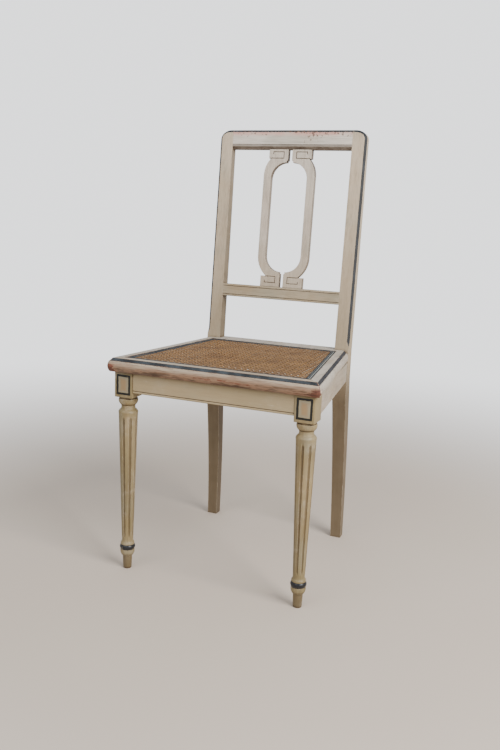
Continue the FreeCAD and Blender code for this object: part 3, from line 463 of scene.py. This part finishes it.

# %% Finishes of the back
# Posts: painted shade, darker and olive lower down and dark brown below the seat, with some grime.
post_paint = painted_wood(
    "post_paint", along_z, rgb(202, 185, 162), rgb(187, 170, 146), wear=0.4, warm=0.2,
    stain=rgb(80, 65, 46), blues=(rgb(13, 17, 21), rgb(36, 42, 48)),
    painted_shades=((0.8, 0.46, 0.6, rgb(150, 133, 104)), (0.45, 0.32, 0.9, rgb(92, 76, 53))))
rail_paint = painted_wood(
    "rail_paint", along_x, rgb(219, 211, 200), rgb(206, 196, 183), wear=0.4, chip=0.3,
    blush=0.8, warm=0.15, stain=rgb(72, 54, 38), blues=(rgb(18, 22, 26), rgb(50, 57, 62)))
low_rail_paint = painted_wood(
    "low_rail_paint", along_x, rgb(178, 163, 138), rgb(166, 149, 122), wear=0.4,
    stain=rgb(52, 40, 27))
# The splat's shade is painted shade, darker towards the lower rail.
splat_paint = painted_wood(
    "splat_paint", along_z, rgb(209, 198, 184), rgb(198, 184, 168), wear=0.3,
    dirt_reach=0.007, warm=0.15, stain=rgb(66, 49, 34),
    painted_shades=((0.7, 0.58, 0.45, rgb(168, 148, 118)),))

# %% Finishes of the seat frame and splines
frame_wood = (rgb(120, 72, 54), rgb(66, 40, 30))
# The nosing's shades are painted shade on the lower half of its rounded front, away from the light.
nosing_paint = painted_wood(
    "nosing_paint", along_x, rgb(186, 171, 150), rgb(166, 148, 127), wear=0.8, reach=0.003,
    chip=0.4, stain=rgb(88, 60, 44), mottle=0.8, thin=rgb(156, 122, 96), patchy=0.38,
    grain=1.0, bare=frame_wood,
    painted_shades=((seat_low + 0.022, seat_low + 0.014, 0.6, rgb(140, 106, 80)),
            (seat_low + 0.017, seat_low + 0.006, 1.0, rgb(70, 49, 35))))
nosing_side_paint = painted_wood(
    "nosing_side_paint", along_y, rgb(190, 181, 168), rgb(176, 165, 152), wear=0.5,
    reach=0.003, chip=0.3, stain=rgb(100, 66, 50), bare=frame_wood,
    blues=(rgb(28, 30, 34), rgb(52, 51, 55)), shine=0.5)
# The splines' stain colour is pale: worn paint and a painted highlight on the reed's shoulders.
strip = dict(cream=rgb(46, 54, 60), deep=rgb(32, 38, 44), wear=0.2, chip=0.1, warm=0.2,
             cool=0.0, stain=rgb(162, 164, 156), mottle=0.4, shine=0.65)
spline_paint = painted_wood("spline_paint", along_x, **strip)
spline_side_paint = painted_wood("spline_side_paint", along_y, **strip)
print("finishes", [m.name for m in bpy.data.materials if m.name.endswith("paint")])

# %% [markdown]
# ## Soft arrises on the joinery
# The posts, rails, aprons, splat and seat frame have the right shape in the solid model, but
# their edges are mathematically sharp and nothing in a workshop is. A copy of each has its loose
# triangles merged, its flat faces joined, and a small rounding on each edge over 30 degrees. Its
# mesh also keeps three marks for the paint: lining, where a face is painted blue, rubbed, where
# hands and legs have worn it, and a third that brings in the finish's stain colour. That third
# mark paints real stains, painted shade in hollows, under beads and on inner faces, and on the
# splines a pale painted highlight.

# %% Add a piece
def add_piece(name, mesh, node):
    """Puts a finished mesh in the scene as a piece of the chair that stands for a solid."""
    piece = bpy.data.objects.new(name, mesh)
    bpy.context.scene.collection.objects.link(piece)
    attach(piece, "root")
    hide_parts(node)
    return piece


def slice_at(shape, spot, normal, **more):
    """Cuts a shape's faces where a plane crosses them."""
    bmesh.ops.bisect_plane(shape, geom=shape.verts[:] + shape.edges[:] + shape.faces[:],
                           plane_co=spot, plane_no=normal, **more)


# %% Soft copy of a solid
weld = 1e-6
flat_angle, arris_angle = math.radians(0.6), math.radians(30)


def soft_copy(name, finish, arris, mark=None, carve=None):
    """mark takes a face's middle and normal and gives its lining, its rubbing, and its stain and
    painted light.
    """
    mesh = nodes[name].data.copy()
    mesh.name = "soft_" + name
    shape = bmesh.new()
    shape.from_mesh(mesh)
    bmesh.ops.remove_doubles(shape, verts=shape.verts, dist=weld)
    bmesh.ops.dissolve_limit(shape, angle_limit=flat_angle, verts=shape.verts, edges=shape.edges)
    if carve:
        carve(shape)
    layers = [shape.faces.layers.float.new(label) for label in ("lining", "rubbed", "stained")]
    for face in shape.faces:
        face.smooth = True
        if mark:
            for layer, share in zip(layers, mark(face.calc_center_median(), face.normal)):
                face[layer] = share
    shape.to_mesh(mesh)
    shape.free()
    if mesh.has_custom_normals:
        mesh.attributes.remove(mesh.attributes["custom_normal"])
    mesh.materials.clear()
    mesh.materials.append(finish)
    rounding = add_piece("soft_" + name, mesh, name).modifiers.new("arris", "BEVEL")
    rounding.width = arris
    rounding.segments = 2
    rounding.limit_method = "ANGLE"
    rounding.angle_limit = arris_angle
    rounding.harden_normals = True


# %% [markdown]
# ## Aprons and rails
# The aprons are the plainest pieces. The crest rail has blue along its upper front edge: the
# narrow sloping face at the top, so the mark picks faces near the top that slope forwards. The
# scratched bead of the front apron and the two grooves of the lower rail are painted dark, dirt
# and painted shade together. The crest rail's bead is painted darker and its underside darkest,
# and the lower arris of the front apron and the lower rail's underside are darkened too: painted
# shade.

# %% Aprons and rails
apron_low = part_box("front_apron")[0].z
scratch_up, scratch_half = 0.005, 0.0012
line_from, bead_to = crest_top - 0.01, crest_top - 0.03


def mark_crest(spot, normal):
    blue = normal.y < -0.3 and normal.z > 0.3 and spot.z > line_from
    # The bead's faces are painted darker and its underside darkest: painted shade under the crest
    # rail.
    bead = spot.z < bead_to and (normal.y < -0.1 or normal.z < -0.5)
    under = bead and normal.z < -0.5
    return 1.0 if blue else 0.0, 0.0, 1.0 if under else 0.75 if bead else 0.0


def mark_apron(spot, normal):
    # The scratch is painted dark, dirt and painted shade in the groove; the lower arris gets
    # painted shade.
    scratch = abs(spot.z - apron_low - scratch_up) < scratch_half and abs(normal.z) > 0.3
    under = spot.z < apron_low + 0.0016 and normal.y < 0.1
    return 0.0, 0.0, 0.95 if scratch else 0.4 if under else 0.0


def mark_low_rail(spot, normal):
    # The groove faces are painted dark, dirt and painted shade together; the underside gets painted
    # shade.
    groove = normal.y < -0.2 and 0.7 < abs(normal.z) < 0.96
    return 0.0, 0.0, 1.0 if groove else 0.5 if normal.z < -0.9 else 0.0


soft_copy("front_apron", apron_paint, 0.0006, mark_apron)
soft_copy("rear_apron", apron_paint, 0.0008)
for hand in ("right", "left"):
    soft_copy("side_apron_" + hand, side_paint, 0.0006)
soft_copy("lower_back_rail", low_rail_paint, 0.0007, mark_low_rail)
soft_copy("crest_rail", rail_paint, 0.0007, mark_crest)
print("aprons and rails softened")

# %% [markdown]
# ## Back posts and splat
# The outer front arris of each post is planed off from just above the seat to the top, and that
# narrow face is blue. It faces forwards and outwards at once, which is how the mark finds it. The
# posts' inner side faces are painted darker: painted shade. The carve draws the post's top corner
# out into a longer, lower curve: every point near the top slides down the leaning post by the
# difference between the two curves. The splat's key lines are painted dark brown, and a face
# belongs to them when it lies behind the splat's front. Its narrow edges are dark brown too, and
# darkest round the top pads.

# %% Lean of the back
fronts = [face for face in nodes["splat_right"].data.polygons if face.normal.y < -0.9]
widest = max(fronts, key=lambda face: face.area)
splat_facing, splat_front = widest.normal.copy(), widest.normal.dot(widest.center)
post_lean = splat_facing.z / -splat_facing.y
print("the back leans", round(math.degrees(math.atan(post_lean)), 2), "degrees")

# %% Ease the posts' top corners
post_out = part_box("back_post_right")[1].x
corner_was, corner_wide, corner_tall = 0.015, 0.026, 0.02
corner_from = crest_top - 0.03
corner_cuts = (0.001, 0.0025, 0.005, 0.008, 0.011, 0.014, 0.017, 0.02, 0.023, 0.026)


def below_top(aside, wide, tall):
    """How far a quarter of an ellipse has dropped at a distance from the post's outer side."""
    return tall * (1 - math.sqrt(1 - (1 - max(0.0, aside) / wide) ** 2)) if aside < wide else 0.0


def ease_top(shape):
    for side in (1, -1):
        for aside in corner_cuts:
            slice_at(shape, (side * (post_out - aside), 0, 0), (1, 0, 0), dist=weld)
    for vertex in shape.verts:
        if vertex.co.z > corner_from:
            aside = post_out - abs(vertex.co.x)
            drop = (below_top(aside, corner_wide, corner_tall)
                    - below_top(aside, corner_was, corner_was))
            vertex.co -= drop * Vector((0, post_lean, 1))


# %% Posts and splat
key_depth = 0.0004
lined_from = seat_top + 0.004
pads_from, pads_full = 0.8, 0.84


def mark_post(spot, normal):
    outwards = math.hypot(normal.x, max(normal.z, 0.0))
    blue = normal.y < -0.3 and outwards > 0.3 and spot.z > lined_from
    # The inner side faces are painted darker: painted shade.
    inner = normal.x * spot.x < 0 and abs(normal.x) > 0.7
    return 1.0 if blue else 0.0, 0.0, 0.75 if inner else 0.0


def mark_splat(spot, normal):
    groove = normal.y < -0.5 and spot.dot(splat_facing) < splat_front - key_depth
    edge = 0.66 + 0.3 * min(1.0, max(0.0, spot.z - pads_from) / (pads_full - pads_from))
    return 0.0, 0.0, 0.95 if groove else edge if abs(normal.y) < 0.5 else 0.0


for hand in ("right", "left"):
    soft_copy("back_post_" + hand, post_paint, 0.0008, mark_post, ease_top)
    soft_copy("splat_" + hand, splat_paint, 0.0006, mark_splat)
print("posts and splat softened")

# %% [markdown]
# ## Seat frame
# A moulded frame of four rails lies on the aprons. The small step above its rounded nosing is
# blue on the front and the sides, and so is the wall that drops to the cane. Legs and hands have
# rubbed the front nosing down to the wood, most of all at its two corners.

# %% Outline of the seat frame
nosing_height = 0.0215
nosing_top = seat_low + nosing_height
edge_low, edge_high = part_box("seat_frame_side_right")
edge_front = edge_low.y
side_back = max(v.co.x for v in nodes["seat_frame_side_right"].data.vertices
                if v.co.y > edge_high.y - 0.002)
side_lean = math.atan2(edge_high.x - side_back, edge_high.y - edge_front)


def side_edge(y):
    """How far out the seat's side edge lies at a place along Y."""
    share = (y - edge_front) / (edge_high.y - edge_front)
    return edge_high.x + (side_back - edge_high.x) * share


print("seat edge", round(edge_high.x, 4), "at the front and", round(side_back, 4), "at the back")

# %% Round the front corners
corner_round = 0.008


def round_corners(shape):
    """Cuts the rails near the front corners and pulls the cuts onto a rounded plan."""
    for side in (1, -1):
        for share in (0.05, 0.15, 0.3, 0.48, 0.7, 1.0, 1.6, 2.4, 3.4):
            inset = corner_round * share
            slice_at(shape, (side * (edge_high.x - inset), 0, 0), (1, 0, 0), dist=weld)
            slice_at(shape, (side * edge_high.x, edge_front + inset, 0),
                     (-side * math.sin(side_lean), math.cos(side_lean), 0), dist=weld)
    for vertex in shape.verts:
        spot = vertex.co
        side = 1 if spot.x > 0 else -1
        from_front = spot.y - edge_front
        from_side = (side_edge(spot.y) - abs(spot.x)) * math.cos(side_lean)
        if from_front < corner_round and from_side < corner_round:
            y = edge_front + corner_round
            hub = Vector((side * (side_edge(y) - corner_round / math.cos(side_lean)), y))
            out = spot.xy - hub
            if out.length > 1e-5:
                out *= (corner_round - min(from_front, from_side)) / out.length
                spot.x, spot.y = hub.x + out.x, hub.y + out.y


# %% Seat frame
corner_wear = 0.026


def mark_frame(spot, normal):
    blue = spot.z > nosing_top + 0.0003 and abs(normal.z) < 0.93
    front = max(0.0, -normal.y)
    if spot.z >= nosing_top or max(front, abs(normal.x)) <= 0.2:
        return 1.0 if blue else 0.0, 0.0, 0.0
    from_corner = max(side_edge(spot.y) - abs(spot.x), spot.y - edge_front)
    at_corner = max(0.0, 1 - from_corner / corner_wear)
    low = max(0.0, min(1.0, (nosing_top - spot.z) / nosing_height))
    rubbed = 0.18 * front + 0.26 * front * low + 0.85 * at_corner * min(1.0, 1.6 * low)
    return 0.0, rubbed, 0.7 * at_corner * min(1.0, 2.2 * low)


def mark_frame_back(spot, normal):
    return 1.0 if normal.y < -0.9 and spot.z > nosing_top else 0.0, 0.0, 0.0


for where_at, paint, mark, carve in (
        ("front", nosing_paint, mark_frame, round_corners),
        ("side_right", nosing_side_paint, mark_frame, round_corners),
        ("side_left", nosing_side_paint, mark_frame, round_corners),
        ("back", nosing_side_paint, mark_frame_back, None)):
    soft_copy("seat_frame_" + where_at, paint, 0.0008, mark, carve)
print("seat frame softened")

# %% [markdown]
# ## Splines
# A blue strip holds the cane down all round. Its middle is a low reed that stands a little proud,
# and on the right the reed's shoulders are painted pale: worn paint, and a painted highlight where
# the light from the right catches them. The strip's top face is inset twice and the innermost
# face is lifted, the quickest way to turn a flat strip into a moulded one.

# %% Splines
shoulder_width, reed_slope, reed_rise = 0.0024, 0.0009, 0.0007
worn_and_lit_from = 0.1
spline_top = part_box("cane_spline_front")[1].z


def raise_reed(shape):
    shape.faces.ensure_lookup_table()
    top = max((f for f in shape.faces if f.normal.z > 0.99), key=lambda f: f.calc_center_median().z)
    for inset in (shoulder_width, reed_slope):
        bmesh.ops.inset_individual(shape, faces=[top], thickness=inset, use_even_offset=True)
    bmesh.ops.translate(shape, verts=list(top.verts), vec=(0, 0, reed_rise))


def mark_spline(spot, normal):
    # The right-hand shoulders are painted pale: worn paint and a painted highlight.
    shoulder = spot.z > spline_top + 0.0002 and normal.z < 0.97
    return 0.0, 0.0, 0.8 if shoulder and spot.x > worn_and_lit_from else 0.0


for where_at, paint in (("front", spline_paint), ("back", spline_paint),
                        ("side_right", spline_side_paint), ("side_left", spline_side_paint)):
    soft_copy("cane_spline_" + where_at, paint, 0.0004, mark_spline, raise_reed)
print("splines softened")

# %% [markdown]
# ## Front legs
# Each front leg is turned from one square billet: a square block, a collar, a flaring cap, a
# slim neck, a rounded shoulder, a long tapering column with eight flutes, a dark ring, a cup and
# a peg. On a lathe the tool follows a profile while the wood spins, and the spin operator does
# the same with a line of points. The curves are short arcs between stations. The flutes are
# then pushed in like a gouge would cut them, with round ends.

# %% Leg profile
def swung(start, end, swell):
    """Points of an arc from one station to the next; swell is how far it bulges outwards."""
    (r1, z1), (r2, z2) = start, end
    out = Vector((z2 - z1, r1 - r2)).normalized()
    steps = 8
    points = []
    for step in range(steps + 1):
        share = 2 * step / steps - 1
        lift = swell * (1 - share * share)
        points.append((r1 + (r2 - r1) * step / steps + out.x * lift,
                       z1 + (z2 - z1) * step / steps + out.y * lift))
    return points


ring_faces = (0.0432, 0.0538)
flute_foot, flute_top = 0.0715, 0.3295
column_foot, column_top = (0.0118, 0.066), (0.0194, 0.337)
rows = 64
profile = [(0.0, 0.0), (0.0078, 0.0), (0.0087, 0.0012), (0.0098, 0.028)]
profile += swung((0.0104, 0.0282), (0.0146, 0.0424), 0.0018)
profile += [(0.0138, 0.043)]
profile += swung((0.0138, ring_faces[0]), (0.0138, ring_faces[1]), 0.0022)
profile += [(0.0132, 0.054), (0.0142, 0.0545), (0.0142, 0.0572)]
profile += swung((0.0139, 0.058), (0.0118, 0.0655), -0.0009)[:-1]
profile += [(column_foot[0] + (column_top[0] - column_foot[0]) * i / rows,
             column_foot[1] + (column_top[1] - column_foot[1]) * i / rows) for i in range(rows + 1)]
profile += [(0.0198, 0.3385), (0.0199, 0.3406)]
profile += swung((0.0195, 0.3414), (0.015, 0.3466), 0.0006)
profile += swung((0.0145, 0.3474), (0.0143, 0.3541), -0.0003)
profile += [(0.0139, 0.3545), (0.0146, 0.3549)]
profile += swung((0.015, 0.3552), (0.0195, 0.3634), 0.001)
profile += swung((0.0195, 0.3638), (0.0189, 0.3683), 0.0004)
profile += [(0.0176, 0.3688), (0.0172, 0.3693), (0.0172, 0.3735), (0.0, 0.3735)]
print("leg profile", len(profile), "points")

# %% Cut a flute
flutes = 8
flute_pitch = 2 * math.pi / flutes
flute_half_foot, flute_widening = 0.0018, 0.0011


def gouge(spot, axis):
    """Moves a point of the column in where a flute passes."""
    out = spot.xy - axis.xy
    if not (flute_foot < spot.z < flute_top and out.length > 0.005):
        return
    share = (spot.z - flute_foot) / (flute_top - flute_foot)
    half = flute_half_foot + flute_widening * share
    end, round_end = min(spot.z - flute_foot, flute_top - spot.z), half * 1.6
    if end < round_end:
        half *= math.sqrt(max(0.0, 1 - (1 - end / round_end) ** 2))
    turn_here = (math.atan2(out.y, out.x) / flute_pitch + 0.5) % 1.0 - 0.5
    aside = turn_here * flute_pitch * out.length
    if abs(aside) < half:
        depth = 1.05 * half * math.sqrt(1 - (aside / half) ** 2)
        out = out * ((out.length - depth) / out.length)
        spot.x, spot.y = axis.x + out.x, axis.y + out.y


# %% Mark a leg for its paint
peg_top, undercut, roll_top = 0.034, (0.3542, 0.358), 0.3683


def leg_stain_and_shade(height):
    """How dark the leg is painted: the peg darker towards the floor, and painted shade in the
    undercut of the roll and in the gap under the block.
    """
    if height < peg_top:
        return 0.88 - 14 * height
    if undercut[0] < height < undercut[1]:
        return 0.75
    return 0.5 if height > roll_top else 0.0


def mark_leg(spot, axis):
    """Gives a face's lining and darkening: the ring is lined, and the flutes are painted brown
    inside, dirt and painted shade together.
    """
    share = (spot.z - column_foot[1]) / (column_top[1] - column_foot[1])
    column = column_foot[0] + (column_top[0] - column_foot[0]) * share
    sunk = column - (spot - axis).xy.length
    in_flute = flute_foot < spot.z < flute_top and sunk > 0.0005
    return (1.0 if ring_faces[0] < spot.z < ring_faces[1] else 0.0,
            min(0.55, 200 * sunk) if in_flute else leg_stain_and_shade(spot.z))


# %% Turn a leg
spokes = 192
block_foot, block_arris = 0.372, 0.0012
crease = math.radians(38)


def front_leg(hand):
    low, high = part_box("front_leg_" + hand)
    axis = Vector(((low.x + high.x) / 2, (low.y + high.y) / 2, 0))
    shape = bmesh.new()
    layers = [shape.faces.layers.float.new(label) for label in ("lining", "stained")]
    points = [shape.verts.new(axis + Vector((r, 0, z))) for r, z in profile]
    line = [shape.edges.new(pair) for pair in zip(points, points[1:])]
    bmesh.ops.spin(shape, geom=points + line, cent=axis, axis=(0, 0, 1), angle=2 * math.pi,
                   steps=spokes, use_merge=True)
    bmesh.ops.remove_doubles(shape, verts=shape.verts, dist=weld)
    bmesh.ops.recalc_face_normals(shape, faces=shape.faces)
    for vertex in shape.verts:
        gouge(vertex.co, axis)
    for face in shape.faces:
        for layer, share in zip(layers, mark_leg(face.calc_center_median(), axis)):
            face[layer] = share
    made = bmesh.ops.create_cube(shape, size=1)["verts"]
    bmesh.ops.scale(shape, verts=made, vec=(high.x - low.x, high.y - low.y, high.z - block_foot))
    bmesh.ops.translate(shape, verts=made, vec=axis + Vector((0, 0, (high.z + block_foot) / 2)))
    edges = list({e for v in made for e in v.link_edges})
    bmesh.ops.bevel(shape, geom=edges, offset=block_arris, segments=3, profile=0.5,
                    affect="EDGES", material=-1)
    for edge in shape.edges:
        edge.smooth = len(edge.link_faces) == 2 and edge.calc_face_angle() < crease
    for face in shape.faces:
        face.smooth = True
    mesh = bpy.data.meshes.new("turned_leg_" + hand)
    shape.to_mesh(mesh)
    shape.free()
    mesh.materials.append(leg_paint)
    add_piece("turned_leg_" + hand, mesh, "front_leg_" + hand)
    print(mesh.name, len(mesh.polygons), "faces")


for hand in ("right", "left"):
    front_leg(hand)

# %% [markdown]
# ## Cane finish
# Cane is the glossy bark of rattan, split into strands. It has long fine fibres, a golden brown
# that differs from strand to strand, darker joints, and dust where strands cross, which has
# dulled it here. Each strand's own tone is a number kept on its faces.

# %% Cane material
cane, tree, shader, where = start_finish("cane")
strand_tone = place(tree, "Attribute", attribute_name="strand").outputs["Fac"]
colour = tint(tree, strand_tone, rgb(152, 110, 60), rgb(76, 52, 27))
stains = noise(tree, where, 22, 3.0, 0.6)
colour = tint(tree, ramp(tree, stains, 0.45, 0.7, 0.0, 0.7), colour, rgb(88, 62, 40))
fibre = noise(tree, where, 900, 2.0)
colour = tint(tree, ramp(tree, fibre, 0.45, 0.7, 0.0, 0.35), colour, rgb(180, 146, 104))
dust = use_group(tree, "corner_dirt", {"Place": where, "Reach": 0.004, "Amount": 0.9})["Dirt"]
feed(tree, shader, {"Base Color": tint(tree, dust, colour, rgb(74, 50, 30)),
                    "Roughness": ramp(tree, stains, 0.3, 0.8, 0.55, 0.75),
                    "Normal": bump(tree, fibre, 0.25, 0.0002)})
print("finish", cane.name)

# %% [markdown]
# ## The weave
# The seat is woven in the six-way pattern: pairs of strands from front to back, pairs from side
# to side, and single strands on both diagonals, which leave eight-sided holes. Each strand is a
# narrow grid whose points rise and fall as it passes over and under the others. The slanting
# strands are a little lighter than the pairs. The weave starts with a whole pair beside the front
# spline. Four planes then trim it to the seat's tapering outline, as a knife does at the spline.

# %% Weave sizes and outline
pitch = 0.0127
pair_gap, pair_from_spline = 0.0031, 0.0035
strand_width, strand_thickness, strand_crown = 0.0027, 0.0005, 0.00016
pair_wave, slant_wave = 0.0003, 0.00058
weave_reach = 0.27
weave_low, weave_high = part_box("cane_panel")
weave_level = (weave_low.z + weave_high.z) / 2 + 0.0001
panel = [v.co for v in nodes["cane_panel"].data.vertices]
half_front = max(c.x for c in panel if c.y < weave_low.y + 0.001)
half_back = max(c.x for c in panel if c.y > weave_high.y - 0.001)
lean = math.atan2(half_front - half_back, weave_high.y - weave_low.y)
first_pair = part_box("cane_spline_front")[1].y + pair_from_spline
middle_y = first_pair + pitch * round((weave_high.y - weave_low.y) / 2 / pitch)
trims = [((0, weave_low.y - 0.001, 0), (0, -1, 0)), ((0, weave_high.y + 0.001, 0), (0, 1, 0)),
         ((half_front, weave_low.y, 0), (math.cos(lean), math.sin(lean), 0)),
         ((-half_front, weave_low.y, 0), (-math.cos(lean), math.sin(lean), 0))]
print("seat opening", round(2 * half_front, 3), "m wide at the front,",
      round(2 * half_back, 3), "m at the back")

# %% Places and heights of the strands
turns = {"long": math.pi / 2, "cross": 0, "rising": math.pi / 4, "falling": -math.pi / 4}
count = int(weave_reach / pitch) + 1


def weave_height(kind, x, y):
    """How high a strand's middle line runs above the sheet's middle."""
    if kind == "long":
        return pair_wave * math.cos(math.pi * y / pitch) * (-1) ** round(x / pitch)
    if kind == "cross":
        return -pair_wave * math.cos(math.pi * x / pitch) * (-1) ** round(y / pitch)
    return slant_wave * math.cos(2 * math.pi * x / pitch) * (1 if kind == "rising" else -1)


def strand_places(slanted):
    """How far each strand of one direction lies from the middle: pairs, or single slants."""
    places = []
    for k in range(-count, count + 1):
        if slanted:
            places += [(k + 0.5) * pitch, (k + count + 0.5) * pitch, (k - count + 0.5) * pitch]
        else:
            places += [k * pitch - pair_gap / 2, k * pitch + pair_gap / 2]
    return sorted(set(places))


# %% Lay one strand
def lay_strand(shape, kind, offset, slanted):
    """A straight narrow grid, turned and put in its place, then waved over and under."""
    stretch = weave_reach * 1.5 if slanted else weave_reach
    step = pitch / 4 * (math.sqrt(2) if slanted else 1)
    segments = 2 * round(stretch / step)
    aside = offset / math.sqrt(2) if slanted else offset
    if kind == "long":
        aside = -aside
    place_it = Matrix.Rotation(turns[kind], 4, "Z") @ Matrix.Translation((0, aside, 0))
    made = bmesh.ops.create_grid(
        shape, x_segments=segments, y_segments=2, size=1,
        matrix=place_it @ Matrix.Diagonal((segments * step / 2, strand_width / 2, 1, 1)))["verts"]
    back = place_it.inverted()
    for vertex in made:
        flat = back @ vertex.co
        middle_line = place_it @ Vector((flat.x, 0, 0))
        crown = strand_crown if abs(flat.y) < 1e-6 else 0.0
        vertex.co.z = weave_height(kind, middle_line.x, middle_line.y) + crown


# %% Weave one layer
def weave_layer(name, kinds):
    shape = bmesh.new()
    strand = shape.faces.layers.float.new("strand")
    seeded = random.Random(name)
    for kind in kinds:
        slanted = kind in ("rising", "falling")
        for offset in strand_places(slanted):
            before = len(shape.faces)
            lay_strand(shape, kind, offset, slanted)
            tone = 0.5 * seeded.random() if slanted else 0.45 + 0.55 * seeded.random()
            shape.faces.ensure_lookup_table()
            for face in shape.faces[before:]:
                face[strand] = tone
    bmesh.ops.translate(shape, verts=shape.verts, vec=(0, middle_y, weave_level))
    for spot, normal in trims:
        slice_at(shape, spot, normal, clear_outer=True)
    for face in shape.faces:
        face.smooth = True
    mesh = bpy.data.meshes.new(name)
    shape.to_mesh(mesh)
    shape.free()
    mesh.materials.append(cane)
    body = add_piece(name, mesh, "cane_panel").modifiers.new("thickness", "SOLIDIFY")
    body.thickness = strand_thickness
    body.offset = -1
    print(name, len(mesh.polygons), "faces before thickness")


weave_layer("cane_long", ["long"])
weave_layer("cane_cross", ["cross"])
weave_layer("cane_slant", ["rising", "falling"])

# %% [markdown]
# ## Hidden wood and screws
# Corner blocks under the seat are bare wood with saw marks, and each is held by a slotted steel
# screw. They are hard to see, but someone may turn the chair over. The solid model's own pieces
# stay, with better materials in their slots.

# %% Bare wood
bare_wood, tree, shader, where = start_finish("bare_wood")
marks = use_group(tree, "brush_marks", {"Place": where, "Squeeze": (0.08, 1, 1)})
colour = tint(tree, ramp(tree, marks["Streaks"], 0.35, 0.68), rgb(158, 120, 82), rgb(112, 78, 50))
colour = tint(tree, ramp(tree, marks["Patches"], 0.4, 0.7, 0.0, 0.5), colour, rgb(132, 98, 66))
soil = use_group(tree, "corner_dirt", {"Place": where, "Reach": 0.012, "Amount": 0.7})["Dirt"]
feed(tree, shader, {"Base Color": tint(tree, soil, colour, rgb(58, 42, 30)),
                    "Roughness": ramp(tree, marks["Streaks"], 0.3, 0.7, 0.6, 0.8),
                    "Normal": bump(tree, marks["Streaks"], 0.5, 0.0008)})

# %% Old steel
old_steel, tree, shader, where = start_finish("old_steel")
rust = ramp(tree, noise(tree, where, 260, 3.0, 0.6), 0.5, 0.64)
feed(tree, shader, {"Base Color": tint(tree, rust, rgb(132, 128, 122), rgb(104, 62, 38)),
                    "Metallic": ramp(tree, rust, 0.0, 1.0, 0.9, 0.2),
                    "Roughness": ramp(tree, rust, 0.0, 1.0, 0.42, 0.85)})
for name, node in nodes.items():
    for slot in node.material_slots:
        if name.startswith("corner_block"):
            slot.material = bare_wood
        if name.startswith("screw"):
            slot.material = old_steel
print("hidden pieces finished")

# %% [markdown]
# ## Floor
# The chair stands on a plain pale floor, wide enough for every view. Near the chair it is a matt
# surface that takes the soft shadows. Further out it fades into the bright background, like a
# photographer's paper sweep, and only the camera sees that glow, so it adds no light.

# %% Pale floor
floor_reach, glow_from, glow_full = 12, 0.55, 2.4
shape = bmesh.new()
bmesh.ops.create_grid(shape, x_segments=1, y_segments=1, size=floor_reach)
mesh = bpy.data.meshes.new("floor")
shape.to_mesh(mesh)
shape.free()
floor = bpy.data.objects.new("floor", mesh)
bpy.context.scene.collection.objects.link(floor)
pale, tree, matt, where = start_finish("pale_floor")
pale_tone = tint(tree, noise(tree, where, 1.3, 2.0), rgb(206, 193, 179), rgb(198, 184, 169))
feed(tree, matt, {"Base Color": pale_tone, "Roughness": 0.8})
glow = place(tree, "Emission", seen_white)
distance = place(tree, "VectorMath", {0: where}, operation="LENGTH").outputs["Value"]
far = times(tree, ramp(tree, distance, glow_from, glow_full),
            place(tree, "LightPath").outputs["Is Camera Ray"])
both = place(tree, "MixShader", {0: far, 1: matt.outputs[0], 2: glow.outputs[0]})
feed(tree, tree.nodes["Material Output"], {"Surface": both.outputs[0]})
mesh.materials.append(pale)
print("floor", floor.name)

# %% Update the scene
bpy.context.view_layer.update()
